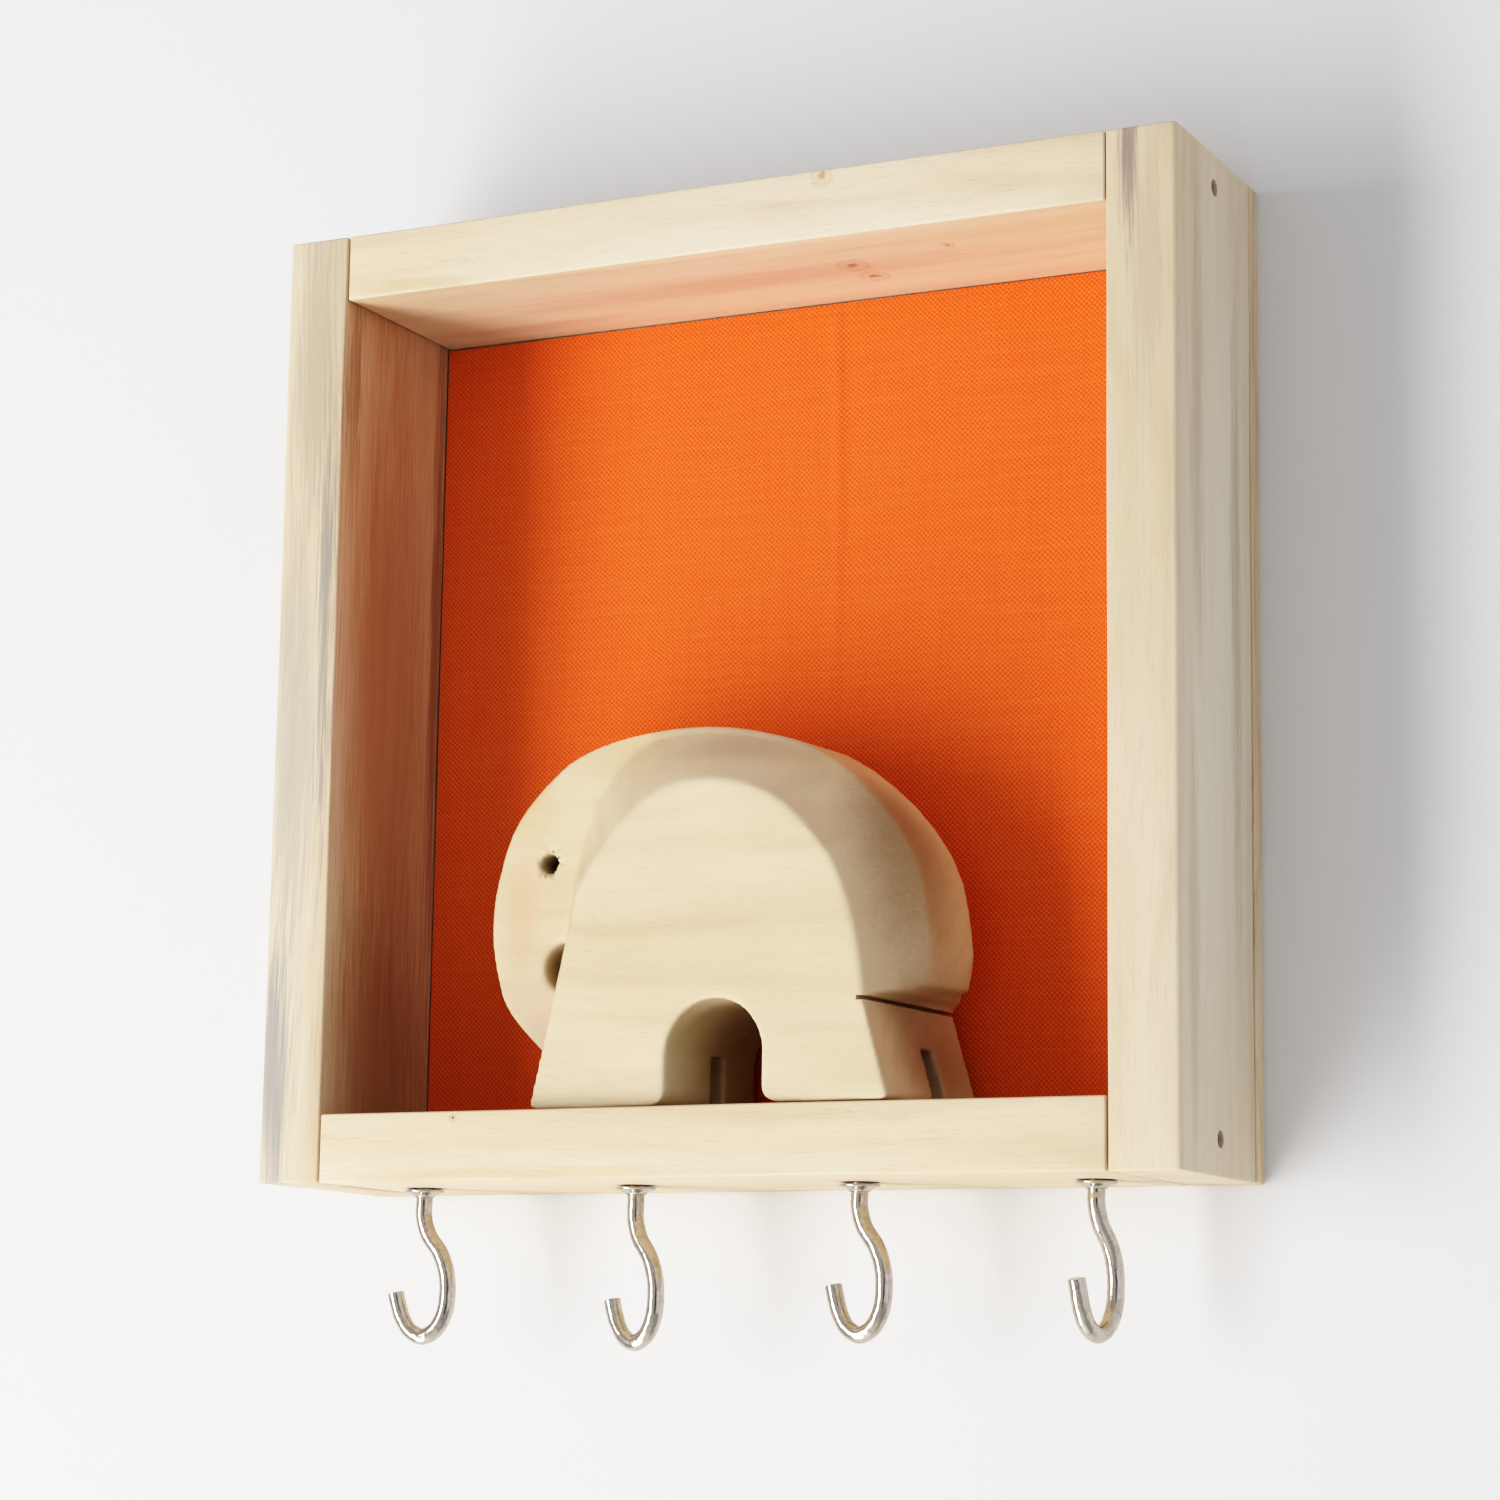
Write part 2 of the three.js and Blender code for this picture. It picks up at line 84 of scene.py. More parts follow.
class Reading:
    """A number, colour or vector that a node gives, with Python's operators on it."""

    def __init__(self, graph: "Graph", socket: bpy.types.NodeSocket) -> None:
        """Keeps the graph that the socket belongs to."""
        self.graph = graph
        self.socket = socket

    def _math(self, operation: str, *others: Any, first: Any = None) -> "Reading":
        """Adds one Math node.

        Args:
            operation: The Math node's operation.
            others: The values after this one.
            first: A value that stands before this one, for the reflected operators.

        Returns:
            The node's result.
        """
        terms = [self, *others] if first is None else [first, self, *others]
        return self.graph.node("ShaderNodeMath", {"operation": operation}, dict(enumerate(terms)))

    def _after(self, operation: str, other: Any) -> "Reading":
        """Adds one Math node on the other value and then this one."""
        return self._math(operation, first=other)

    __add__ = __radd__ = partialmethod(_math, "ADD")
    __mul__ = __rmul__ = partialmethod(_math, "MULTIPLY")
    __sub__ = partialmethod(_math, "SUBTRACT")
    __rsub__ = partialmethod(_after, "SUBTRACT")
    __truediv__ = partialmethod(_math, "DIVIDE")
    __pow__ = partialmethod(_math, "POWER")
    __abs__ = partialmethod(_math, "ABSOLUTE")
    sine = partialmethod(_math, "SINE")
    floor = partialmethod(_math, "FLOOR")

    def ease(self, low: float, high: float) -> "Reading":
        """Rises smoothly from 0 at one value to 1 at another.

        Args:
            low: Where the result is 0.
            high: Where the result is 1.

        Returns:
            The eased value.
        """
        settings = {"interpolation_type": "SMOOTHSTEP"}
        return self.graph.node("ShaderNodeMapRange", settings, {0: self, 1: low, 2: high})


def length(parts: Sequence[Reading]) -> Reading:
    """Gives the length of the vector that has these three parts."""
    x, y, z = parts
    return (x ** 2.0 + y ** 2.0 + z ** 2.0) ** 0.5


class Graph:
    """The node tree of one material, or of the world."""

    def __init__(self, owner: bpy.types.Material | bpy.types.World | str) -> None:
        """Empties the owner's tree and adds its output node.

        Args:
            owner: A world, a material, or the name of a new material.
        """
        self.owner = bpy.data.materials.new(owner) if isinstance(owner, str) else owner
        self.owner.use_nodes = True
        self.tree = self.owner.node_tree
        self.tree.nodes.clear()
        kind = "World" if isinstance(self.owner, bpy.types.World) else "Material"
        self.output = self.tree.nodes.new(f"ShaderNodeOutput{kind}")

    def node(
        self,
        kind: str,
        settings: dict[str, Any] | None = None,
        sockets: dict[int | str, Any] | None = None,
        output: int | str = 0,
    ) -> Reading:
        """Adds one node: its settings first, then the values or links of its sockets.

        Args:
            kind: The node's type.
            settings: Attributes of the node.
            sockets: Inputs by index or name; a Reading is linked, anything else is a value.
            output: The output to return, by index or name.

        Returns:
            That output.
        """
        made = self.tree.nodes.new(kind)
        for key, value in (settings or {}).items():
            setattr(made, key, value)
        for key, value in (sockets or {}).items():
            if isinstance(value, Reading):
                self.tree.links.new(value.socket, made.inputs[key])
            else:
                made.inputs[key].default_value = value
        return Reading(self, made.outputs[output])

    def place(self) -> tuple[Reading, Reading, Reading]:
        """Gives x, y and z on the piece, in millimetres."""
        metres = self.node("ShaderNodeTexCoord", output="Object")
        scaled = self.node("ShaderNodeVectorMath", {"operation": "SCALE"}, {0: metres, 3: 1 / MM})
        return tuple(self.node("ShaderNodeSeparateXYZ", {}, {0: scaled}, i) for i in range(3))

    def vector(self, x: Any, y: Any, z: Any) -> Reading:
        """Joins three values into a vector."""
        return self.node("ShaderNodeCombineXYZ", {}, {0: x, 1: y, 2: z})

    def noise(
        self, where: Reading, scale: float = 1.0, detail: float = 2.0, rough: float = 0.5
    ) -> Reading:
        """Adds smooth noise from 0 to 1.

        Args:
            where: The vector to read it at.
            scale: Features per unit of the vector.
            detail: How many finer layers it has.
            rough: How strong the finer layers are.

        Returns:
            The noise.
        """
        sockets = {"Vector": where, "Scale": scale, "Detail": detail, "Roughness": rough}
        return self.node("ShaderNodeTexNoise", {}, sockets)

    def mix(self, share: Any, first: Any, second: Any) -> Reading:
        """Mixes two colours.

        Args:
            share: How much of the second, 0 to 1.
            first: A linear colour or a Reading.
            second: A linear colour or a Reading.

        Returns:
            The mixed colour.
        """
        first, second = ((*c, 1.0) if isinstance(c, tuple) else c for c in (first, second))
        settings = {"data_type": "RGBA", "clamp_factor": True}
        return self.node("ShaderNodeMix", settings, {0: share, 6: first, 7: second}, 2)

    def bump(self, height: Reading, depth: float, strength: float = 1.0) -> Reading:
        """Turns a height of 0 to 1 into a normal.

        Args:
            height: The height.
            depth: How high 1 is, in millimetres.
            strength: The share of it that shows.

        Returns:
            The normal.
        """
        sockets = {"Strength": strength, "Distance": depth * MM, "Height": height}
        return self.node("ShaderNodeBump", {}, sockets)

    def finish(self, **sockets: Any) -> bpy.types.Material:
        """Adds the surface shader and links it to the output.

        Args:
            sockets: The shader's inputs, with _ for each space in a name.

        Returns:
            The material.
        """
        named = {key.replace("_", " "): value for key, value in sockets.items()}
        shader = self.node("ShaderNodeBsdfPrincipled", {}, named)
        self.tree.links.new(shader.socket, self.output.inputs["Surface"])
        return self.owner


# ---------------------------------------------------------------- finishes


class Grain(Enum):
    """The way the fibres of a piece of wood run."""

    UPRIGHT = "z"
    LEVEL = "x"


@dataclass(frozen=True)
class StainAndPaintedLight:
    """A coloured patch in wood. Many are real stained patches; the rest are painted shade and
    painted light, marked where they are listed.

    Attributes:
        centre: Its middle, in millimetres.
        reach: How far it reaches along x, y and z, in millimetres.
        colour: What it tints the wood to.
        strength: How strongly, 0 to 1.
        broken: How much the fibres break it up into streaks.
    """

    centre: Point
    reach: Point
    colour: Colour
    strength: float = 0.6
    broken: float = 1.6


@dataclass(frozen=True)
class Knot:
    """A small knot.

    Attributes:
        centre: Its middle, in millimetres.
        radius: Its radius, in millimetres.
        colour: Its colour.
    """

    centre: Point
    radius: float
    colour: Colour = srgb(150, 96, 62)


PORE = srgb(150, 118, 84)


@dataclass(frozen=True)
class BareWood:
    """Bare sanded pale wood, with its figure running through the solid.

    Attributes:
        name: The material's name.
        grain: The way its fibres run.
        pale: The palest wood.
        warm: The wood between the pale parts.
        late: The darker edge of a growth ring.
        pith: Where the tree's middle was, across the grain and in depth, in millimetres.
        ring: Width of a growth ring, in millimetres.
        ring_show: How much the rings show, 0 to 1.
        fibre_show: How much the fibres show, 0 to 1.
        pore_show: How much the open pores show, 0 to 1.
        shift: Where in the noise this piece was cut, in millimetres.
        stains_and_painted_light: Its real staining, and its patches of painted shade and painted
            light.
        knots: Its knots.
    """

    name: str
    grain: Grain
    pale: Colour = srgb(226, 211, 186)
    warm: Colour = srgb(214, 192, 158)
    late: Colour = srgb(184, 150, 108)
    pith: tuple[float, float] = (70.0, -95.0)
    ring: float = 4.2
    ring_show: float = 0.3
    fibre_show: float = 0.35
    pore_show: float = 0.14
    shift: float = 0.0
    stains_and_painted_light: tuple[StainAndPaintedLight, ...] = ()
    knots: tuple[Knot, ...] = ()

    def build(self) -> bpy.types.Material:
        """Builds the material."""
        g = Graph(self.name)
        x, y, z = g.place()
        along, across = (z, x) if self.grain is Grain.UPRIGHT else (x, z)
        along = along + self.shift
        slow = g.vector(along * 0.012, across * 0.03, y * 0.03)
        sway = (g.noise(slow, 1.0, 2.0) - 0.5) * 14.0
        side, deep = across + sway, y + sway * 0.6
        from_pith = ((side - self.pith[0]) ** 2.0 + (deep - self.pith[1]) ** 2.0) ** 0.5

        def drawn_out(slow: float, quick: float, detail: float, rough: float = 0.5) -> Reading:
            """Adds noise drawn out along the fibres, from how fast it changes along and across."""
            where = g.vector(along * slow, side * quick, deep * quick)
            return g.noise(where, 1.0, detail, rough)

        wander = drawn_out(0.02, 0.1, 3.0)
        phase = from_pith * (2 * math.pi / self.ring) + wander * 9.0
        rings = (phase.sine() * 0.5 + 0.5) ** 2.5
        fibre = drawn_out(0.09, 2.2, 4.0, 0.65)
        hair = drawn_out(0.22, 7.0, 2.0, 0.6)
        pores = drawn_out(0.35, 4.5, 1.0).ease(0.66, 0.78)
        tone = drawn_out(0.008, 0.06, 3.0).ease(0.3, 0.7)
        cloud = drawn_out(0.03, 0.12, 3.0)

        colour = g.mix(tone * 0.75, self.pale, self.warm)
        colour = g.mix(rings * cloud.ease(0.25, 0.8) * self.ring_show, colour, self.late)
        colour = g.mix(fibre.ease(0.5, 0.85) * self.fibre_show, colour, self.late)
        colour = g.mix(hair.ease(0.55, 0.9) * (self.fibre_show * 0.5), colour, self.pale)
        colour = g.mix(pores * self.pore_show, colour, PORE)
        # Real staining, and patches of painted shade and painted light.
        for tint_patch in self.stains_and_painted_light:
            far = length([(a - c) / r for a, c, r in zip((x, y, z), tint_patch.centre, tint_patch.reach)])
            broken = g.noise(g.vector(along * 0.027, across + sway * 0.3, y), 1.9, 5.0, 0.7)
            patch = (1.0 - far + (broken - 0.5) * tint_patch.broken).ease(0.0, 0.8)
            colour = g.mix(patch * tint_patch.strength, colour, tint_patch.colour)
        for knot in self.knots:
            far = length([a - c for a, c in zip((x, y, z), knot.centre)])
            ragged = far / knot.radius + (g.noise(g.vector(x, y, z), 0.9, 2.0) - 0.5) * 1.5
            ripple = (ragged * 5.0).sine() * 0.5 + 0.5
            halo = 1.0 - ragged.ease(0.6, 2.4)
            colour = g.mix(halo * (ripple * 0.35 + 0.1), colour, knot.colour)
            colour = g.mix((1.0 - ragged.ease(0.25, 0.55)) * 0.7, colour, knot.colour)
        height = fibre * 0.6 + hair * 0.4 - pores * 0.4
        return g.finish(
            Base_Color=colour,
            Roughness=0.5 + fibre * 0.2,
            Normal=g.bump(height, 0.09, 0.6),
            Specular_IOR_Level=0.35,
        )


@dataclass(frozen=True)
class CanvasWeave:
    """Dyed plain-weave cotton canvas.

    Attributes:
        name: The material's name.
        pitch: From one thread to the next, in millimetres.
        top: Colour on top of a thread.
        gap: Colour down between threads, a painted shade.
        pale_and_highlight: Colour of the paler threads, and the painted highlight on thread crowns.
    """

    name: str
    pitch: float = 0.5
    top: Colour = (0.92, 0.217, 0.064)
    gap: Colour = (0.75, 0.125, 0.02)
    pale_and_highlight: Colour = (0.96, 0.32, 0.1)

    def build(self) -> bpy.types.Material:
        """Builds the material: rows of small knuckles, one wherever a warp thread passes over,
        darker down between the threads as painted shade and paler on their crowns as a painted
        highlight.
        """
        g = Graph(self.name)
        x, _, z = g.place()
        u, v = (
            (way + (g.noise(g.vector(x * 0.05, z * 0.05, seed), 1.0, 2.0) - 0.5) * 2.4) / self.pitch
            for way, seed in ((x, 0.0), (z, 9.0))
        )
        up, over = (u * math.pi).sine(), (v * math.pi).sine()
        knuckle = up * over * 0.5 + 0.5
        weft = abs(over)
        warp_tone = g.noise(g.vector(u.floor() * 3.7, z * 0.035, 1.0), 1.0, 1.0)
        weft_tone = g.noise(g.vector(x * 0.035, v.floor() * 3.7, 5.0), 1.0, 1.0)
        slub = weft_tone.ease(0.66, 0.82) * 0.25
        fuzz = g.noise(g.vector(x, z, 0.0), 1.7, 3.0, 0.7)
        # Painted shade down between the threads, and a painted highlight on their crowns.
        colour = g.mix(knuckle.ease(0.05, 0.6), self.gap, self.top)
        colour = g.mix(knuckle.ease(0.6, 1.0) * 0.45, colour, self.pale_and_highlight)
        colour = g.mix(weft_tone.ease(0.35, 0.85) * 0.2, colour, self.pale_and_highlight)
        colour = g.mix(warp_tone.ease(0.4, 0.8) * 0.15, colour, self.gap)
        colour = g.mix(fuzz.ease(0.3, 0.8) * 0.25, colour, self.gap)
        relief = knuckle * 0.8 + weft * 0.2 + slub + fuzz * 0.2
        return g.finish(
            Base_Color=colour,
            Roughness=0.78 + fuzz * 0.15,
            Normal=g.bump(relief, 0.12, 0.9),
            Specular_IOR_Level=0.2,
            Sheen_Weight=0.12,
            Sheen_Roughness=0.5,
        )


@dataclass(frozen=True)
class Metal:
    """Bare or plated metal with fine wear.

    Attributes:
        name: The material's name.
        colour: Its colour where it is clean.
        dull: Its colour where it has dulled.
        rough: Its roughness where it is clean.
        wear: How much it has dulled, 0 to 1.
        grit: Size of its marks, in millimetres.
        relief: Depth of its marks, in millimetres.
        lumps: Depth of its broad unevenness, in millimetres.
    """

    name: str
    colour: Colour
    dull: Colour
    rough: float
    wear: float
    grit: float = 0.5
    relief: float = 0.01
    lumps: float = 0.0

    def build(self) -> bpy.types.Material:
        """Builds the material."""
        g = Graph(self.name)
        x, y, z = g.place()
        where = g.vector(x, y, z)
        broad = g.noise(where, 0.35, 3.0)
        fine = g.noise(where, 1 / self.grit, 4.0, 0.65)
        scratch = g.noise(g.vector(x * 6.0, y * 6.0, z * 0.5), 1.0, 2.0, 0.7)
        worn = (broad * 0.6 + fine * 0.4).ease(0.42, 0.78) * self.wear
        height = (fine * 0.5 + scratch * 0.5) * self.relief + g.noise(where, 0.7, 1.0) * self.lumps
        return g.finish(
            Base_Color=g.mix(worn, self.colour, self.dull),
            Metallic=1.0 - worn * 0.35,
            Roughness=self.rough + worn * 0.3 + scratch * 0.05,
            Normal=g.bump(height, 1.0),
        )


@dataclass(frozen=True)
class StagePaint:
    """Plain matt paint for the wall and the floor.

    Attributes:
        name: The material's name.
        colour: Its colour.
        one_sided: Whether it is clear when seen from behind.
    """

    name: str
    colour: Colour
    one_sided: bool = False

    def build(self) -> bpy.types.Material:
        """Builds the material."""
        g = Graph(self.name)
        x, y, z = g.place()
        mottle = g.noise(g.vector(x, y, z), 0.02, 2.0)
        tone = g.mix(mottle * 0.2, self.colour, tuple(c * 0.97 for c in self.colour))
        made = g.finish(Base_Color=tone, Roughness=0.9, Specular_IOR_Level=0.1)
        if self.one_sided:
            behind = g.node("ShaderNodeNewGeometry", output="Backfacing")
            clear = g.node("ShaderNodeBsdfTransparent")
            painted = g.output.inputs["Surface"].links[0].from_socket
            both = g.node("ShaderNodeMixShader", {}, {0: behind, 1: Reading(g, painted), 2: clear})
            g.tree.links.new(both.socket, g.output.inputs["Surface"])
        return made


# ---------------------------------------------------------------- tools of the bench


class Bench:
    """Blender's modelling tools, used as by hand. Everything is placed in millimetres."""

    @staticmethod
    def clear() -> None:
        """Leaves edit mode and deselects everything."""
        if bpy.context.mode != "OBJECT":
            bpy.ops.object.mode_set(mode="OBJECT")
        bpy.ops.object.select_all(action="DESELECT")

    @staticmethod
    def hold(piece: bpy.types.Object) -> None:
        """Selects one piece alone and makes it the active one."""
        Bench.clear()
        piece.select_set(True)
        bpy.context.view_layer.objects.active = piece

    @staticmethod
    @contextmanager
    def editing(piece: bpy.types.Object, select: str = "SELECT") -> Iterator[None]:
        """Edits a piece, with all of it selected or none of it.

        Args:
            piece: The piece.
            select: SELECT or DESELECT.

        Yields:
            Nothing; the piece is in edit mode.
        """
        Bench.hold(piece)
        bpy.ops.object.mode_set(mode="EDIT")
        bpy.ops.mesh.select_mode(type="VERT")
        bpy.ops.mesh.select_all(action=select)
        yield
        bpy.ops.object.mode_set(mode="OBJECT")

    @staticmethod
    def name(piece: bpy.types.Object, name: str) -> bpy.types.Object:
        """Names a piece and its mesh."""
        piece.name = piece.data.name = name
        return piece

    @staticmethod
    def settle(piece: bpy.types.Object) -> bpy.types.Object:
        """Puts the piece's place into its mesh, so its object sits at the origin."""
        Bench.hold(piece)
        bpy.ops.object.transform_apply(location=True, rotation=True, scale=True)
        return piece

    @staticmethod
    def block(name: str, low: Point, high: Point) -> bpy.types.Object:
        """Adds a block between two corners.

        Args:
            name: Its name.
            low: Its lowest corner.
            high: Its highest corner.

        Returns:
            The block.
        """
        Bench.clear()
        centre = [(a + b) / 2 * MM for a, b in zip(low, high)]
        size = [(b - a) * MM for a, b in zip(low, high)]
        bpy.ops.mesh.primitive_cube_add(size=1, location=centre, scale=size)
        return Bench.settle(Bench.name(bpy.context.object, name))

    @staticmethod
    def turned(name: str, profile: Sequence[Point], sides: int = 32) -> bpy.types.Object:
        """Turns a piece about the z axis, ring by ring.

        Args:
            name: Its name.
            profile: Radius and height of each ring. A radius of 0 at either end closes it there;
                a last ring on the first one closes it into a loop.
            sides: How many sides it has.

        Returns:
            The piece.
        """
        Bench.clear()
        rings = [p for p in profile if p[0] > 0]
        radius, height = rings[0]
        start = {"radius": radius * MM, "location": (0, 0, height * MM)}
        bpy.ops.mesh.primitive_circle_add(vertices=sides, **start)
        piece = Bench.settle(Bench.name(bpy.context.object, name))
        with Bench.editing(piece):
            for wide, high in rings[1:]:
                lift = {"value": (0, 0, (high - height) * MM)}
                bpy.ops.mesh.extrude_region_move(TRANSFORM_OT_translate=lift)
                grow = wide / radius
                bpy.ops.transform.resize(value=(grow, grow, 1), center_override=(0, 0, high * MM))
                radius, height = wide, high
            if profile[-1][0] == 0:
                lift = {"value": (0, 0, (profile[-1][1] - height) * MM)}
                bpy.ops.mesh.extrude_region_move(TRANSFORM_OT_translate=lift)
                bpy.ops.mesh.merge(type="CENTER")
            if profile[0][0] == 0:
                bpy.ops.mesh.select_all(action="DESELECT")
                bpy.ops.mesh.select_non_manifold()
                lift = {"value": (0, 0, (profile[0][1] - rings[0][1]) * MM)}
                bpy.ops.mesh.extrude_region_move(TRANSFORM_OT_translate=lift)
                bpy.ops.mesh.merge(type="CENTER")
        return Bench.clean(piece)

    @staticmethod
    def clean(piece: bpy.types.Object) -> bpy.types.Object:
        """Merges doubled points and turns all faces outwards."""
        with Bench.editing(piece):
            bpy.ops.mesh.remove_doubles(threshold=WELD * MM)
            bpy.ops.mesh.normals_make_consistent(inside=False)
        return piece

    @staticmethod
    def aim(piece: bpy.types.Object, at: Point, towards: Point) -> bpy.types.Object:
        """Turns a piece so that its z axis points along a direction, and moves it to a point.

        Args:
            piece: The piece, about the z axis at the origin.
            at: Where its origin goes.
            towards: Where its z axis points.

        Returns:
            The piece.
        """
        turn = Vector((0, 0, 1)).rotation_difference(Vector(towards))
        piece.matrix_world = Matrix.Translation(Vector(at) * MM) @ turn.to_matrix().to_4x4()
        return Bench.settle(piece)

    @staticmethod
    def copy(piece: bpy.types.Object, name: str) -> bpy.types.Object:
        """Copies a piece, with its own mesh."""
        made = bpy.data.objects.new(name, piece.data.copy())
        made.data.name = name
        bpy.context.scene.collection.objects.link(made)
        return made

    @staticmethod
    def solid_of(node: str, name: str) -> bpy.types.Object:
        """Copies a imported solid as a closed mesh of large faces, to be worked on.

        Args:
            node: The solid's name.
            name: The copy's name.

        Returns:
            The copy.
        """
        made = Bench.copy(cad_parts[node], name)
        made.data.materials.clear()
        with Bench.editing(made):
            bpy.ops.mesh.remove_doubles(threshold=WELD * MM)
            bpy.ops.mesh.customdata_custom_splitnormals_clear()
            bpy.ops.mesh.dissolve_limited(angle_limit=math.radians(0.5))
        return made

    @staticmethod
    def modify(piece: bpy.types.Object, kind: str, **settings: Any) -> bpy.types.Object:
        """Adds one modifier and applies it.

        Args:
            piece: The piece.
            kind: The modifier's type.
            settings: Its settings.

        Returns:
            The piece.
        """
        Bench.hold(piece)
        modifier = piece.modifiers.new(kind.lower(), kind)
        for key, value in settings.items():
            setattr(modifier, key, value)
        bpy.ops.object.modifier_apply(modifier=modifier.name)
        return piece

    @staticmethod
    def cut(piece: bpy.types.Object, cutter: bpy.types.Object) -> bpy.types.Object:
        """Cuts one closed mesh out of another, and throws the cutter away."""
        Bench.modify(piece, "BOOLEAN", operation="DIFFERENCE", solver="EXACT", object=cutter)
        bpy.data.meshes.remove(cutter.data)
        return piece

    @staticmethod
    def slices(piece: bpy.types.Object, axis: int, places: Sequence[float]) -> None:
        """Cuts level edge lines round a piece without parting it.

        Args:
            piece: The piece.
            axis: 0, 1 or 2, the axis that the cuts cross.
            places: Where they cross it, in millimetres.
        """
        normal = [0.0, 0.0, 0.0]
        normal[axis] = 1.0
        for place in places:
            with Bench.editing(piece):
                through = [n * place * MM for n in normal]
                bpy.ops.mesh.bisect(plane_co=through, plane_no=normal)

    @staticmethod
    def soften(
        piece: bpy.types.Object,
        width: float,
        chosen: Callable[[Vector], bool] | None = None,
        sharp: float = 60.0,
        segments: int = 4,
    ) -> bpy.types.Object:
        """Rounds the sharp edges of a piece.

        Args:
            piece: The piece.
            width: Width of the rounding, in millimetres.
            chosen: Says of an edge's middle, in millimetres, whether it is rounded; all if None.
            sharp: The least angle between an edge's two faces, in degrees.
            segments: How many faces make the round.

        Returns:
            The piece.
        """
        with Bench.editing(piece, "DESELECT"):
            bpy.ops.mesh.select_mode(type="EDGE")
            mesh = bmesh.from_edit_mesh(piece.data)
            for edge in mesh.edges:
                if len(edge.link_faces) == 2 and edge.calc_face_angle(0) > math.radians(sharp):
                    middle = (edge.verts[0].co + edge.verts[1].co) / 2 / MM
                    edge.select = chosen is None or chosen(middle)
            mesh.select_flush_mode()
            bmesh.update_edit_mesh(piece.data)
            bpy.ops.mesh.bevel(offset=width * MM, segments=segments, clamp_overlap=True)
        return piece

    @staticmethod
    def move(piece: bpy.types.Object, shift: Shift) -> bpy.types.Object:
        """Moves a piece's points.

        Args:
            piece: The piece.
            shift: Gives the new places of the points from the old ones, in millimetres.

        Returns:
            The piece.
        """
        flat = np.zeros(len(piece.data.vertices) * 3)
        piece.data.vertices.foreach_get("co", flat)
        moved = shift(flat.reshape(-1, 3) / MM) * MM
        piece.data.vertices.foreach_set("co", moved.ravel())
        piece.data.update()
        return piece

    @staticmethod
    def smooth(piece: bpy.types.Object, angle: float = 40.0) -> bpy.types.Object:
        """Shades a piece smooth, apart from its sharp edges."""
        Bench.hold(piece)
        bpy.ops.object.shade_smooth_by_angle(angle=math.radians(angle))
        return piece

    @staticmethod
    def deliver(
        piece: bpy.types.Object,
        body: str,
        nodes: Sequence[str],
        slot: str,
        finish: bpy.types.Material,
    ) -> bpy.types.Object:
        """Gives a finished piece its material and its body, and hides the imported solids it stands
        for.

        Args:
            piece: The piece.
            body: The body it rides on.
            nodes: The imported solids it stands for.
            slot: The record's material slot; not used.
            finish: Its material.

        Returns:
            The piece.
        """
        piece.data.materials.clear()
        piece.data.materials.append(finish)
        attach(piece, body)
        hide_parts(*nodes)
        log.info("%s: %d faces, on %s", piece.name, len(piece.data.polygons), body)
        return piece


def handmade(size: float, depth: float, seed: float) -> Shift:
    """Makes a slow unevenness, as hand planing and sanding leave.

    Args:
        size: Length of a wave of it, in millimetres.
        depth: How far it moves a point, in millimetres.
        seed: Which unevenness.

    Returns:
        What gives the moved points.
    """

    def shift(points: np.ndarray) -> np.ndarray:
        """Moves each point a little by three crossed waves."""
        x, y, z = (points / size).T
        sin = np.sin
        waves = [
            sin(1.3 * x + 2.1 * y + 0.7 * z + seed) + 0.5 * sin(3.1 * z - 1.7 * x + 2 * seed),
            sin(0.9 * x - 1.4 * y + 1.1 * z + 3 * seed) + 0.5 * sin(2.7 * x + 2.2 * z + seed),
            sin(1.1 * x + 1.9 * y - 0.8 * z + 5 * seed) + 0.5 * sin(2.9 * x - 2.5 * y + seed),
        ]
        return points + depth / 1.5 * np.stack(waves, 1)

    return shift


# ---------------------------------------------------------------- nails

NAIL_SIDES = 20


